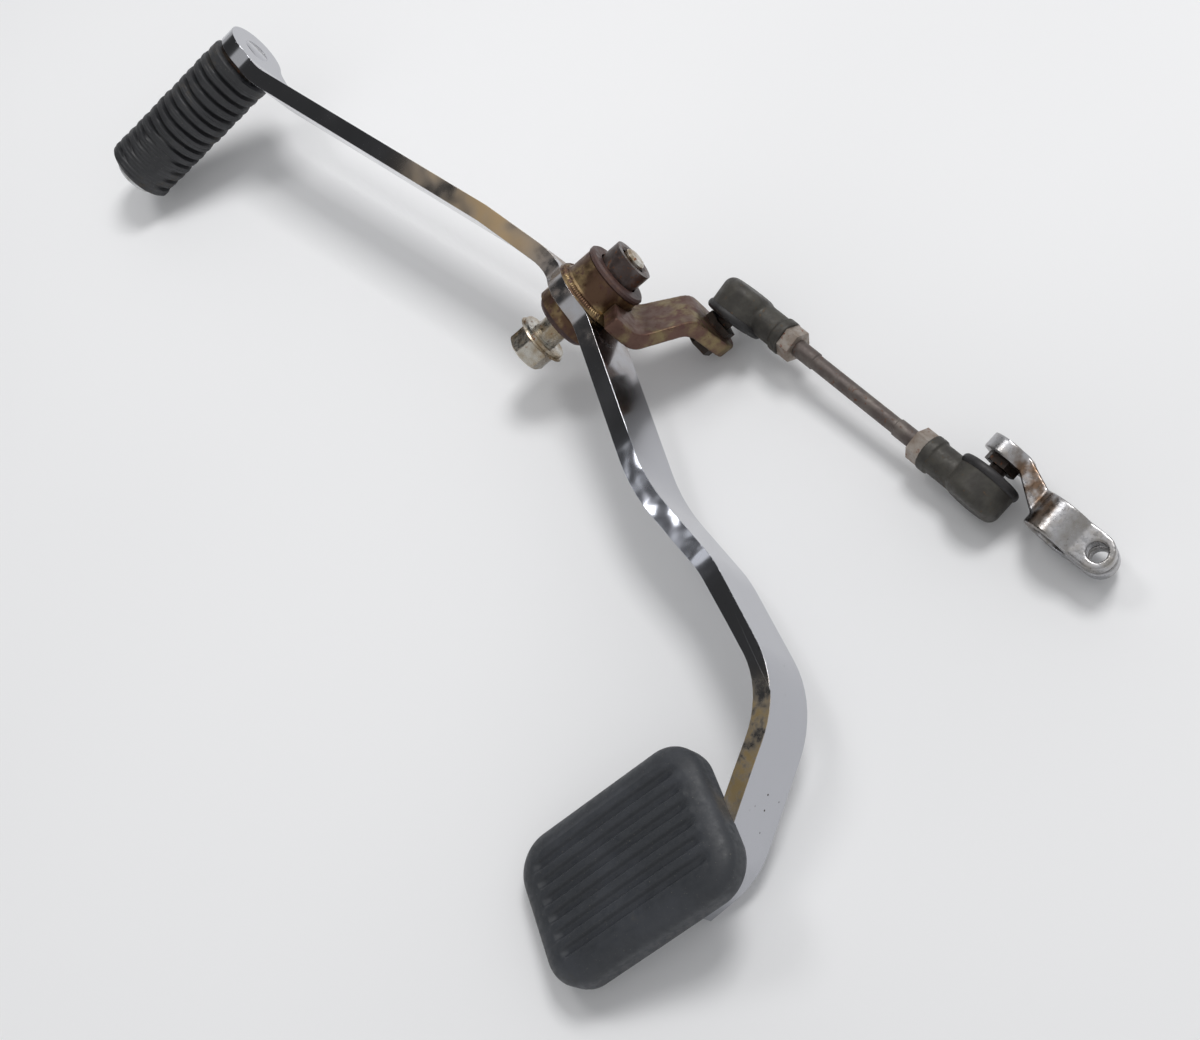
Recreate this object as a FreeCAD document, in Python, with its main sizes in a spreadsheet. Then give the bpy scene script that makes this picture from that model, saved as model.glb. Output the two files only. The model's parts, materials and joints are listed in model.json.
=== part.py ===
import FreeCAD, Part
import math
import os
import Sketcher

# Left-side heel-and-toe gear shift lever of a motorcycle, with its shift rod and shaft crank.
# Millimetres. Lever frame: Y is the pivot axis (outboard is +), X points to the toe peg, Z is up,
# and the origin is on the pivot axis in the middle of the flat bar. One common placement at the
# end lays the finished part on the bench, the way it rests when it is off the motorcycle, with
# the centre of the pivot sleeve's inboard end at the origin.

os.makedirs("parts", exist_ok=True)
V = FreeCAD.Vector
ALONG_X = V(1, 0, 0)
ALONG_Y = V(0, 1, 0)
ALONG_Z = V(0, 0, 1)

doc = FreeCAD.newDocument("shift_lever")
sheet = doc.addObject("Spreadsheet::Sheet", "Dims")

DIMS = [
    # flat bar: toe arm, ring round the boss, heel arm
    ("bar_gauge", 6.0), ("toe_width", 18.0), ("heel_width", 20.2), ("bar_edge_round", 1.2),
    ("ring_radius", 14.2), ("eye_radius", 12.0), ("boss_flat", 9.0), ("joint_blend", 8.0),
    ("toe_rise", 18.6), ("toe_x", 165.8), ("toe_lead_length", 25.0), ("toe_lead_turn", 20.5),
    ("toe_turn", 24.3), ("toe_bend_radius", 24.0), ("eye_flat", 10.0),
    ("heel_fall", 12.6), ("heel_fall_length", 107.0), ("heel_level_fall", 2.1),
    ("heel_lead_length", 48.6), ("heel_lead_turn", 9.9), ("heel_back_length", 21.0),
    ("heel_back_turn", 10.8), ("heel_level_length", 26.5), ("heel_level_turn", 2.3),
    ("heel_side_length", 26.7), ("heel_side_turn", 48.5), ("heel_tip_length", 10.0),
    ("heel_tip_turn", 84.0), ("heel_bend_radius", 25.0), ("heel_sweep_radius", 60.0),
    ("heel_hook_radius", 32.0),
    # boss, bushes, seals, sleeve
    ("tube_radius", 11.6), ("tube_outboard", 8.0), ("tube_inboard", 13.6), ("bush_wall", 2.0),
    ("bush_length", 8.0), ("sleeve_radius", 7.7), ("sleeve_inboard", 22.6),
    ("sleeve_outboard", 10.5), ("sleeve_chamfer", 0.8), ("sleeve_groove_depth", 0.3),
    ("sleeve_groove_margin", 0.8), ("running_gap", 0.05), ("seal_radius_out", 10.2),
    ("seal_radius_in", 12.0), ("seal_gauge", 2.2), ("seal_lip_gap", 0.3), ("weld_leg", 2.6),
    # pivot bolt, drawn part of the way out
    ("shoulder_radius", 4.75), ("bolt_thread_radius", 4.0), ("bolt_thread_length", 12.0),
    ("bolt_head_flats", 13.0), ("bolt_head_height", 7.0), ("bolt_flange_radius", 9.5),
    ("bolt_flange_gauge", 1.6), ("washer_radius", 8.6), ("washer_gauge", 1.2),
    ("bolt_withdrawn", 6.7), ("bolt_tip_proud", 1.4),
    # toe peg and its rubber
    ("peg_radius", 6.2), ("peg_rivet_radius", 5.0), ("peg_cap_radius", 8.6),
    ("peg_base_radius", 10.4), ("peg_base_gauge", 2.0), ("peg_end_proud", 3.2),
    ("peg_dimple_radius", 2.6), ("grip_radius", 13.0), ("grip_length", 61.5), ("grip_lands", 13.0),
    ("grip_groove_width", 1.5), ("grip_groove_depth", 1.9), ("grip_land_round", 0.9), ("grip_collar", 5.5),
    # heel pad
    ("plate_gauge", 3.0), ("plate_x", 40.0), ("plate_y", 60.0), ("plate_corner", 9.0),
    ("pad_centre_x", 176.0), ("pad_centre_y", 62.5), ("plate_seat_drop", 15.6),
    ("pad_top_x", 46.5), ("pad_top_y", 66.0), ("pad_base_x", 48.5), ("pad_base_y", 67.8),
    ("pad_corner", 11.0), ("pad_lip", 2.2), ("pad_cover", 6.6), ("pad_recess_x", 32.0),
    ("pad_recess_y", 53.3), ("pad_recess_depth", 1.7), ("pad_ribs", 7.0),
    ("pad_rib_width", 3.5), ("pad_rib_height", 1.5), ("pad_edge_round", 2.6),
    ("pad_notch_gap", 0.4),
    # link arm welded to the boss
    ("link_gauge", 5.6), ("link_angle", 66.7), ("link_reach", 37.1), ("link_root_radius", 13.0), ("link_root_x", 5.0),
    ("link_root_back", 10.0), ("link_bend_round", 5.5), ("link_start", 3.0),
    ("link_eye_radius", 8.4), ("link_root_y", 8.2), ("link_end_y", 24.0), ("link_flat", 17.0),
    ("link_slope_length", 10.0),
    # ball joints
    ("ball_radius", 5.0), ("ball_bore_radius", 2.5), ("ball_offset", 14.5), ("neck_radius", 2.8),
    ("collar_flats", 10.0), ("collar_gauge", 2.5), ("stud_radius", 3.0), ("nut_flats", 10.0),
    ("nut_gauge", 3.2), ("stud_end_proud", 0.6), ("head_radius", 9.8), ("head_front", 5.6),
    ("head_back", 5.8), ("head_edge_round", 3.4), ("socket_gap", 0.08), ("mouth_radius", 5.6),
    ("boot_radius", 9.1), ("boot_lip_radius", 6.4), ("boot_mouth_radius", 5.3),
    ("boot_reach", 7.4), ("boot_gauge", 1.4), ("shank_radius", 5.5), ("shank_end", 20.5),
    ("shank_ring_radius", 6.1), ("shank_ring_gauge", 3.4), ("clip_gauge", 0.9),
    ("clip_inner_radius", 4.6), ("end_twist", 10.0),
    # shift rod
    ("rod_length", 103.0), ("rod_radius", 2.65), ("rod_thread_radius", 3.0), ("rod_insert", 9.0),
    ("rod_thread_length", 24.0), ("jam_gauge", 4.8), ("rod_lean", 15.9), ("rod_swing", 17.0),
    # shift shaft crank
    ("crank_gauge", 5.4), ("crank_eye_radius", 7.8), ("crank_reach", 26.4), ("crank_stagger", 7.4),
    ("hub_radius", 9.6), ("hub_width", 11.6), ("bore_radius", 5.8), ("tooth_depth", 0.7),
    ("tooth_count", 24.0), ("ear_reach", 19.4), ("ear_height", 12.6), ("slit_width", 2.2),
    ("pinch_offset", 14.2), ("pinch_radius", 3.1),
    # how the part lies on the bench
    ("bench_tilt", 21.3), ("bench_roll", 7.9),
]


# Worked out by the sheet from the sizes above.
DERIVED = [
    ("toe_z", "=toe_x*tan(toe_rise)"),
    ("toe_reach", "=toe_x/cos(toe_rise)"),
    ("toe_start_x", "=boss_flat+toe_lead_length*cos(toe_lead_turn)+toe_bend_radius*sin(toe_turn)"),
    ("toe_slant", "=(toe_x-eye_flat-toe_start_x-toe_bend_radius*sin(toe_turn))/cos(toe_turn)"),
    ("eye_y", "=2*toe_bend_radius*(1-cos(toe_turn))+toe_lead_length*sin(toe_lead_turn)"
              "+toe_slant*sin(toe_turn)"),
    ("knee_x", "=-heel_fall_length*cos(heel_fall)"),
    ("knee_z", "=-heel_fall_length*sin(heel_fall)"),
    ("ball_a_x", "=-link_reach*cos(link_angle)"),
    ("ball_a_y", "=-link_end_y-ball_offset"),
    ("ball_a_z", "=-link_reach*sin(link_angle)"),
    ("plate_top", "=plate_gauge-plate_seat_drop"),
    ("pad_top", "=plate_top+pad_cover"),
    ("pad_floor", "=-plate_seat_drop-pad_lip"),
    ("collar_face", "=ball_offset-link_gauge/2-collar_gauge"),
    ("crank_eye_z", "=collar_face+collar_gauge+crank_gauge/2"),
]


def fill_sheet():
    rows = [(alias, str(value)) for alias, value in DIMS] + DERIVED
    for row, (alias, content) in enumerate(rows, start=1):
        sheet.set("A%d" % row, alias)
        sheet.set("B%d" % row, content)
        sheet.setAlias("B%d" % row, alias)
    doc.recompute()


def size(alias):
    return float(sheet.get(alias))


fill_sheet()


# ---------------------------------------------------------------- small helpers

def bind(item, **expressions):
    """Bind properties of an object to cells; a double underscore stands for a dot."""
    for key, text in expressions.items():
        item.setExpression(key.replace("__", "."), text)
    return item


def prim(kind, name, **expressions):
    return bind(doc.addObject("Part::" + kind, name), **expressions)


def cylinder(name, radius, height):
    return prim("Cylinder", name, Radius=radius, Height=height)


def cone(name, radius_low, radius_high, height):
    return prim("Cone", name, Radius1=radius_low, Radius2=radius_high, Height=height)


def box(name, length, width, height):
    """A box centred on its X and Y, standing on its Z zero."""
    item = prim("Box", name, Length=length, Width=width, Height=height)
    bind(item, Placement__Base__x="-(%s)/2" % length, Placement__Base__y="-(%s)/2" % width)
    return item


def hexagon(name, flats, height):
    return prim("Prism", name, Circumradius="(%s)/sqrt(3)" % flats, Height=height)


def shift(item, x="0", y="0", z="0"):
    return bind(item, Placement__Base__x=x, Placement__Base__y=y, Placement__Base__z=z)


def fuse(name, *items):
    item = doc.addObject("Part::MultiFuse", name)
    item.Shapes = list(items)
    item.Refine = True
    return item


def common(name, *items):
    item = doc.addObject("Part::MultiCommon", name)
    item.Shapes = list(items)
    return item


def cut(name, base, *tools):
    item = doc.addObject("Part::Cut", name)
    item.Base = base
    item.Tool = tools[0] if len(tools) == 1 else fuse(name + "_tools", *tools)
    return item


def rounded(name, base, radius, wanted):
    """Fillet the edges of base for which wanted(edge) holds."""
    doc.recompute()
    item = doc.addObject("Part::Fillet", name)
    item.Base = base
    picked = [n for n, edge in enumerate(base.Shape.Edges, start=1) if wanted(edge)]
    item.Edges = [(n, radius, radius) for n in picked]
    return item


def turned(name, profile):
    """Revolve a closed profile of (radius, height) expressions about the body's Z axis."""
    body = doc.addObject("PartDesign::Body", name + "_body")
    sketch = body.newObject("Sketcher::SketchObject", name + "_profile")
    sketch.AttachmentSupport = [(plane(body, "XZ_Plane"), "")]
    sketch.MapMode = "FlatFace"
    outline(sketch, profile)
    doc.recompute()
    turn = body.newObject("PartDesign::Revolution", name + "_turn")
    turn.Profile = sketch
    turn.ReferenceAxis = (sketch, ["V_Axis"])
    turn.Angle = 360
    body.Tip = turn
    return body


def plane(body, role):
    return next(item for item in body.Origin.OriginFeatures if item.Role == role)


def value_of(text):
    """The value of an expression, worked out by the sheet in a spare cell."""
    sheet.set("D1", "=" + text.replace("Dims.", ""))
    doc.recompute([sheet])
    return float(sheet.get("D1"))


def outline(sketch, points):
    """A closed polygon whose every corner is bound to the sheet."""
    spots = [V(value_of(x), value_of(y), 0) for x, y in points]
    count = len(spots)
    for n in range(count):
        sketch.addGeometry(Part.LineSegment(spots[n], spots[(n + 1) % count]), False)
    for n in range(count):
        sketch.addConstraint(Sketcher.Constraint("Coincident", n, 2, (n + 1) % count, 1))
    for n, (x, y) in enumerate(points):
        for kind, text, value in (("DistanceX", x, spots[n].x), ("DistanceY", y, spots[n].y)):
            index = sketch.addConstraint(Sketcher.Constraint(kind, -1, 1, n, 1, value))
            sketch.setExpression("Constraints[%d]" % index, text)


def flat_sketch(body, name, role):
    sketch = body.newObject("Sketcher::SketchObject", name)
    sketch.AttachmentSupport = [(plane(body, role), "")]
    sketch.MapMode = "FlatFace"
    return sketch


def bound(sketch, constraint, text):
    index = sketch.addConstraint(constraint)
    sketch.setExpression("Constraints[%d]" % index, text)


def bent_path(sketch, runs, radius):
    """Straight runs (heading, length) from the origin, joined by tangent arcs.
    A run may name the radius of the arc before it; the others take the common one."""
    spot = V(0, 0, 0)
    heading = None
    for head_text, length_text, *own in runs:
        bend_text = own[0] if own else radius
        bend = value_of(bend_text)
        target = value_of(head_text)
        if heading is not None:
            side = 1 if target > heading else -1
            normal = V(-math.sin(math.radians(heading)), math.cos(math.radians(heading)), 0)
            centre = spot + normal * (side * bend)
            first = math.radians(heading - side * 90)
            last = math.radians(target - side * 90)
            circle = Part.Circle(centre, ALONG_Z, bend)
            span = (first, last) if side > 0 else (last, first)
            arc = sketch.addGeometry(Part.ArcOfCircle(circle, *span), False)
            near, far = (1, 2) if side > 0 else (2, 1)
            sketch.addConstraint(Sketcher.Constraint("Tangent", line, 2, arc, near))
            bound(sketch, Sketcher.Constraint("Radius", arc, bend), bend_text)
            spot = centre + V(math.cos(last), math.sin(last), 0) * bend
        ahead = V(math.cos(math.radians(target)), math.sin(math.radians(target)), 0)
        end = spot + ahead * value_of(length_text)
        line = sketch.addGeometry(Part.LineSegment(spot, end), False)
        if heading is None:
            sketch.addConstraint(Sketcher.Constraint("Coincident", line, 1, -1, 1))
        else:
            sketch.addConstraint(Sketcher.Constraint("Tangent", arc, far, line, 1))
        bound(sketch, Sketcher.Constraint("Angle", line, math.radians(target)), head_text)
        bound(sketch, Sketcher.Constraint("Distance", line, value_of(length_text)), length_text)
        spot = end
        heading = target


def bent_strip(name, runs, radius, gauge, half_height):
    """A strip on edge: gauge thick, following the path in the XY plane, very tall in Z."""
    body = doc.addObject("PartDesign::Body", name)
    path = flat_sketch(body, name + "_path", "XY_Plane")
    bent_path(path, runs, radius)
    section = flat_sketch(body, name + "_section", "YZ_Plane")
    half = "(%s)/2" % gauge
    outline(section, [("-" + half, "-" + half_height), (half, "-" + half_height),
                      (half, half_height), ("-" + half, half_height)])
    doc.recompute()
    pipe = body.newObject("PartDesign::AdditivePipe", name + "_pipe")
    pipe.Profile = section
    pipe.Spine = (path, [])
    body.Tip = pipe
    return body


# ---------------------------------------------------------------- frames of the linkage

def rod_direction():
    swing = math.radians(size("rod_swing"))
    lean = math.radians(size("rod_lean"))
    return V(-math.cos(swing) * math.cos(lean), -math.sin(lean), -math.sin(swing) * math.cos(lean))


def end_frame(centre, along_rod, opening):
    """Frame of a ball joint: X into the rod, Z out of the housing's open side."""
    turn = FreeCAD.Rotation(along_rod, V(0, 0, 0), opening, "XZY")
    return FreeCAD.Placement(centre, turn)


def joint_frames():
    rod = rod_direction()
    outward = (ALONG_Y - rod * rod.dot(ALONG_Y)).normalize()
    centre_a = V(size("ball_a_x"), size("ball_a_y"), size("ball_a_z"))
    centre_b = centre_a + rod * size("rod_length")
    twisted = FreeCAD.Rotation(rod, -size("end_twist")).multVec(outward)
    return end_frame(centre_a, rod, outward), end_frame(centre_b, rod * -1, twisted * -1)


OUTBOARD = FreeCAD.Placement(V(0, 0, 0), FreeCAD.Rotation(ALONG_X, -90))
HOME = FreeCAD.Placement()
finished = []


def finish(name, item, place=HOME):
    """Name a finished sub-part and keep the place that it has in the lever frame."""
    item.Label = name
    finished.append((name, item, place))
    return item


# ---------------------------------------------------------------- the lever itself

def side_arm(name, length, width, heading_text, start_x="0", start_z="0"):
    """A rectangle of the side outline, turned about Y and very deep in Y."""
    arm = prim("Box", name, Length=length, Width="360", Height=width)
    spin = FreeCAD.Rotation(ALONG_Y, -value_of(heading_text))
    drop = spin.multVec(V(0, 0, -value_of(width) / 2))
    base = V(value_of(start_x), -180, value_of(start_z)) + V(drop.x, 0, drop.z)
    arm.Placement = FreeCAD.Placement(base, spin)
    return arm


def side_disc(name, radius, x="0", z="0"):
    disc = cylinder(name, radius, "360")
    disc.Placement = FreeCAD.Placement(V(value_of(x), 180, value_of(z)),
                                       FreeCAD.Rotation(ALONG_X, 90))
    return disc


# The heel arm seen from above: heading and length of each straight run, outward from the boss.
HEEL_RUNS = [
    ("180", "Dims.boss_flat"),
    ("180-Dims.heel_lead_turn", "Dims.heel_lead_length"),
    ("180+Dims.heel_back_turn", "Dims.heel_back_length", "Dims.heel_sweep_radius"),
    ("180+Dims.heel_level_turn", "Dims.heel_level_length", "Dims.heel_sweep_radius"),
    ("180-Dims.heel_side_turn", "Dims.heel_side_length", "Dims.heel_hook_radius"),
    ("180-Dims.heel_tip_turn", "Dims.heel_tip_length")]


def lever_bar():
    """One flat bar: cut to its side outline, then bent sideways in several places."""
    outlines = fuse(
        "bar_outline",
        side_disc("ring_outline", "Dims.ring_radius"),
        side_disc("eye_outline", "Dims.eye_radius", "Dims.toe_x", "Dims.toe_z"),
        side_arm("toe_outline", "Dims.toe_reach", "Dims.toe_width", "Dims.toe_rise"),
        side_arm("heel_outline", "Dims.heel_fall_length", "Dims.heel_width", "180+Dims.heel_fall"),
        side_disc("knee_outline", "Dims.heel_width/2", "Dims.knee_x", "Dims.knee_z"),
        side_arm("level_outline", "120", "Dims.heel_width", "180+Dims.heel_level_fall",
                 "Dims.knee_x", "Dims.knee_z"))
    ring = size("ring_radius")
    eye = V(size("toe_x"), 0, size("toe_z"))

    def waist(edge):
        """The inside corners where an arm meets the ring or the eye."""
        if len(edge.Vertexes) != 2 or abs(edge.tangentAt(edge.FirstParameter).y) < 0.99:
            return False
        spot = edge.Vertexes[0].Point
        from_pivot = math.hypot(spot.x, spot.z)
        from_eye = math.hypot(spot.x - eye.x, spot.z - eye.z)
        return abs(from_pivot - ring) < 0.01 or abs(from_eye - size("eye_radius")) < 0.01

    blended = rounded("bar_outline_blended", outlines, size("joint_blend"), waist)
    toe = bent_strip("toe_strip", [
        ("0", "Dims.boss_flat"),
        ("Dims.toe_lead_turn", "Dims.toe_lead_length"),
        ("Dims.toe_turn", "Dims.toe_slant"),
        ("0", "Dims.eye_flat+Dims.eye_radius+2")],
        "Dims.toe_bend_radius", "Dims.bar_gauge", "120")
    heel = bent_strip("heel_strip", HEEL_RUNS, "Dims.heel_bend_radius", "Dims.bar_gauge", "120")
    bent = common("bar_bent", blended, fuse("bar_strip", toe, heel))
    tube_hole = side_disc("bar_tube_hole", "Dims.tube_radius")
    peg_hole = side_disc("bar_peg_hole", "Dims.peg_rivet_radius", "Dims.toe_x", "Dims.toe_z")
    seat = box("bar_plate_seat", "Dims.plate_x+60", "Dims.plate_y+60", "60")
    shift(seat, "-Dims.pad_centre_x-(Dims.plate_x+60)/2", "Dims.pad_centre_y-(Dims.plate_y+60)/2",
          "-Dims.plate_seat_drop")
    drilled = cut("bar_drilled", bent, tube_hole, peg_hole)
    finish("lever_bar", cut("lever_bar", drilled, seat))
    return drilled


def boss_tube(drilled_bar):
    """The welded boss, with its fillet weld run where the tube meets the bar."""
    inner = "Dims.sleeve_radius+Dims.running_gap+Dims.bush_wall"
    face = "Dims.bar_gauge/2"
    weld = "Dims.tube_radius+Dims.weld_leg"
    tube = turned("boss_round", [
        (inner, "-Dims.tube_inboard"), ("Dims.tube_radius", "-Dims.tube_inboard"),
        ("Dims.tube_radius", "-%s-Dims.weld_leg" % face), (weld, "-" + face),
        ("Dims.tube_radius", "-" + face), ("Dims.tube_radius", face),
        ("Dims.tube_radius+Dims.weld_leg/2", face),
        ("Dims.tube_radius", "%s+Dims.weld_leg/2" % face),
        ("Dims.tube_radius", "Dims.tube_outboard"), (inner, "Dims.tube_outboard")])
    tube.Placement = OUTBOARD
    return finish("pivot_tube", cut("pivot_tube", tube, drilled_bar))


def pivot_bushes():
    """Two plain bushes, one pressed into each end of the boss."""
    bore = "Dims.sleeve_radius+Dims.running_gap"
    wall = bore + "+Dims.bush_wall"
    outer = turned("bush_outer", [
        (bore, "Dims.tube_outboard-Dims.bush_length"), (wall, "Dims.tube_outboard-Dims.bush_length"),
        (wall, "Dims.tube_outboard"), (bore, "Dims.tube_outboard")])
    inner = turned("bush_inner", [
        (bore, "-Dims.tube_inboard"), (wall, "-Dims.tube_inboard"),
        (wall, "Dims.bush_length-Dims.tube_inboard"), (bore, "Dims.bush_length-Dims.tube_inboard")])
    group = doc.addObject("Part::Compound", "bush_pair")
    group.Links = [outer, inner]
    return finish("pivot_bushes", group, OUTBOARD)


def dust_seals():
    """A rubber lip disc on each end of the boss, just clear of the turning sleeve."""
    bore = "Dims.sleeve_radius+Dims.seal_lip_gap"
    outer = turned("dust_seal_outer", [
        (bore, "Dims.tube_outboard"), ("Dims.seal_radius_out", "Dims.tube_outboard"),
        ("Dims.seal_radius_out", "Dims.tube_outboard+Dims.seal_gauge*0.6"),
        ("Dims.seal_radius_out-Dims.seal_gauge*0.4", "Dims.tube_outboard+Dims.seal_gauge"),
        (bore, "Dims.tube_outboard+Dims.seal_gauge")])
    finish("dust_seal_outer", outer, OUTBOARD)
    inner = turned("dust_seal_inner", [
        (bore, "-Dims.tube_inboard-Dims.seal_gauge"),
        ("Dims.seal_radius_in-Dims.seal_gauge*0.3", "-Dims.tube_inboard-Dims.seal_gauge"),
        ("Dims.seal_radius_in", "-Dims.tube_inboard-Dims.seal_gauge*0.7"),
        ("Dims.seal_radius_in", "-Dims.tube_inboard-Dims.seal_gauge*0.25"),
        ("Dims.seal_radius_in-Dims.seal_gauge*0.3", "-Dims.tube_inboard"),
        (bore, "-Dims.tube_inboard")])
    finish("dust_seal_inner", inner, OUTBOARD)


def pivot_sleeve():
    """The hardened sleeve that the frame clamps and the lever turns on."""
    bore = "Dims.shoulder_radius+Dims.running_gap"
    chamfer = "Dims.sleeve_chamfer"
    lip = "-Dims.tube_inboard-Dims.seal_gauge"
    waist = "Dims.sleeve_radius-Dims.sleeve_groove_depth"
    sleeve = turned("pivot_sleeve", [
        (bore, chamfer + "-Dims.sleeve_inboard"),
        (bore + "+" + chamfer, "-Dims.sleeve_inboard"),
        ("Dims.sleeve_radius", "-Dims.sleeve_inboard"),
        ("Dims.sleeve_radius", lip + "-Dims.sleeve_groove_margin"),
        (waist, lip + "-Dims.sleeve_groove_margin"),
        (waist, lip + "+Dims.seal_gauge-Dims.sleeve_groove_margin"),
        ("Dims.sleeve_radius", lip + "+Dims.seal_gauge-Dims.sleeve_groove_margin"),
        ("Dims.sleeve_radius", "Dims.sleeve_outboard-%s" % chamfer),
        ("Dims.sleeve_radius-%s" % chamfer, "Dims.sleeve_outboard"),
        (bore, "Dims.sleeve_outboard")])
    return finish("pivot_sleeve", sleeve, OUTBOARD)


def pivot_bolt():
    """Flanged shoulder bolt; its washer rides under the flange. Both are slid outboard."""
    under = "Dims.sleeve_outboard+Dims.bolt_withdrawn+Dims.washer_gauge"
    top = under + "+Dims.bolt_flange_gauge"
    tip = "-Dims.sleeve_inboard-Dims.bolt_tip_proud"
    shoulder_end = tip + "+Dims.bolt_thread_length"
    shank = turned("bolt_shank", [
        ("0", tip), ("Dims.bolt_thread_radius-0.8", tip),
        ("Dims.bolt_thread_radius", tip + "+0.8"), ("Dims.bolt_thread_radius", shoulder_end),
        ("Dims.shoulder_radius", shoulder_end), ("Dims.shoulder_radius", under),
        ("Dims.bolt_flange_radius-0.4", under), ("Dims.bolt_flange_radius", under + "+0.5"),
        ("Dims.bolt_head_flats/2+0.6", top), ("0", top)])
    head = hexagon("bolt_hexagon", "Dims.bolt_head_flats", "Dims.bolt_head_height")
    shift(head, z=top)
    crown = turned("bolt_crown", [
        ("0", top), ("Dims.bolt_head_flats/2+2", top),
        ("Dims.bolt_head_flats/2+2", top + "+Dims.bolt_head_height-1.6"),
        ("Dims.bolt_head_flats/2-0.4", top + "+Dims.bolt_head_height"),
        ("0", top + "+Dims.bolt_head_height")])
    bolt = fuse("bolt_solid", shank, common("bolt_head", head, crown))
    finish("pivot_bolt", bolt, OUTBOARD)
    washer = turned("bolt_washer", [
        ("Dims.shoulder_radius+0.15", under + "-Dims.washer_gauge"),
        ("Dims.washer_radius", under + "-Dims.washer_gauge"), ("Dims.washer_radius", under),
        ("Dims.shoulder_radius+0.15", under)])
    finish("bolt_washer", washer, OUTBOARD)


# ---------------------------------------------------------------- toe peg

def peg_place():
    """On the peg axis, in the middle of the eye; Z runs outboard along the peg."""
    centre = V(size("toe_x"), size("eye_y"), size("toe_z"))
    return FreeCAD.Placement(centre, FreeCAD.Rotation(ALONG_X, -90))


def toe_peg():
    """Steel peg, let into the eye and ground flush, with a cap that keeps the rubber on."""
    face = "Dims.bar_gauge/2"
    under = face + "+Dims.peg_base_gauge+Dims.grip_length"
    end = under + "+Dims.peg_end_proud"
    dimple = "Dims.peg_dimple_radius"
    peg = turned("toe_peg", [
        ("0", "-" + face), ("Dims.peg_rivet_radius", "-" + face),
        ("Dims.peg_rivet_radius", face), ("Dims.peg_radius", face),
        ("Dims.peg_radius", under), ("Dims.peg_cap_radius", under),
        ("Dims.peg_cap_radius", under + "+Dims.peg_end_proud*0.45"),
        ("Dims.peg_cap_radius-Dims.peg_end_proud*0.4", end), (dimple, end),
        ("0", end + "-" + dimple)])
    finish("toe_peg", peg, peg_place())
    disc = turned("peg_base_disc", [
        ("Dims.peg_radius", face), ("Dims.peg_base_radius", face),
        ("Dims.peg_base_radius", face + "+Dims.peg_base_gauge"),
        ("Dims.peg_radius", face + "+Dims.peg_base_gauge")])
    finish("peg_base_disc", disc, peg_place())


def toe_grip():
    """Rubber sleeve with a plain collar and a row of ring lands, slipped tight over the peg."""
    start = "Dims.bar_gauge/2+Dims.peg_base_gauge"
    end = start + "+Dims.grip_length"
    body = turned("toe_grip", [
        ("Dims.peg_radius", start), ("Dims.grip_radius-0.8", start),
        ("Dims.grip_radius", start + "+0.8"), ("Dims.grip_radius", end + "-0.8"),
        ("Dims.grip_radius-0.8", end), ("Dims.peg_radius", end)])
    pitch = "(Dims.grip_length-Dims.grip_collar)/Dims.grip_lands"
    first = start + "+Dims.grip_collar-Dims.grip_groove_width"
    sketch = flat_sketch(body, "grip_groove", "XZ_Plane")
    last = first + "+Dims.grip_groove_width"
    floor = "Dims.grip_radius-Dims.grip_groove_depth"
    shoulder = "Dims.grip_radius-Dims.grip_land_round*0.55"
    outline(sketch, [
        (floor, first + "+Dims.grip_groove_width*0.25"),
        (shoulder, first), ("Dims.grip_radius", first + "-Dims.grip_land_round"),
        ("Dims.grip_radius+1", first + "-Dims.grip_land_round"),
        ("Dims.grip_radius+1", last + "+Dims.grip_land_round"),
        ("Dims.grip_radius", last + "+Dims.grip_land_round"), (shoulder, last),
        (floor, first + "+Dims.grip_groove_width*0.75")])
    doc.recompute()
    groove = body.newObject("PartDesign::Groove", "grip_groove_turn")
    groove.Profile = sketch
    groove.ReferenceAxis = (sketch, ["V_Axis"])
    groove.Angle = 360
    doc.recompute()
    row = body.newObject("PartDesign::LinearPattern", "grip_groove_row")
    row.Originals = [groove]
    row.Direction = (plane(body, "Z_Axis"), [""])
    bind(row, Length="(%s)*(Dims.grip_lands-1)" % pitch, Occurrences="Dims.grip_lands")
    body.Tip = row
    return finish("toe_grip", body, peg_place())


# ---------------------------------------------------------------- heel pad

def pad_place(level):
    return FreeCAD.Placement(V(-size("pad_centre_x"), size("pad_centre_y"), size(level)),
                             FreeCAD.Rotation())


def slab(name, length, width, height, corner):
    """A plate with rounded upright corners, standing on Z zero."""
    raw = box(name + "_raw", length, width, height)
    return rounded(name, raw, value_of(corner), upright)


def upright(edge):
    return abs(edge.tangentAt(edge.FirstParameter).z) > 0.99


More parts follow.
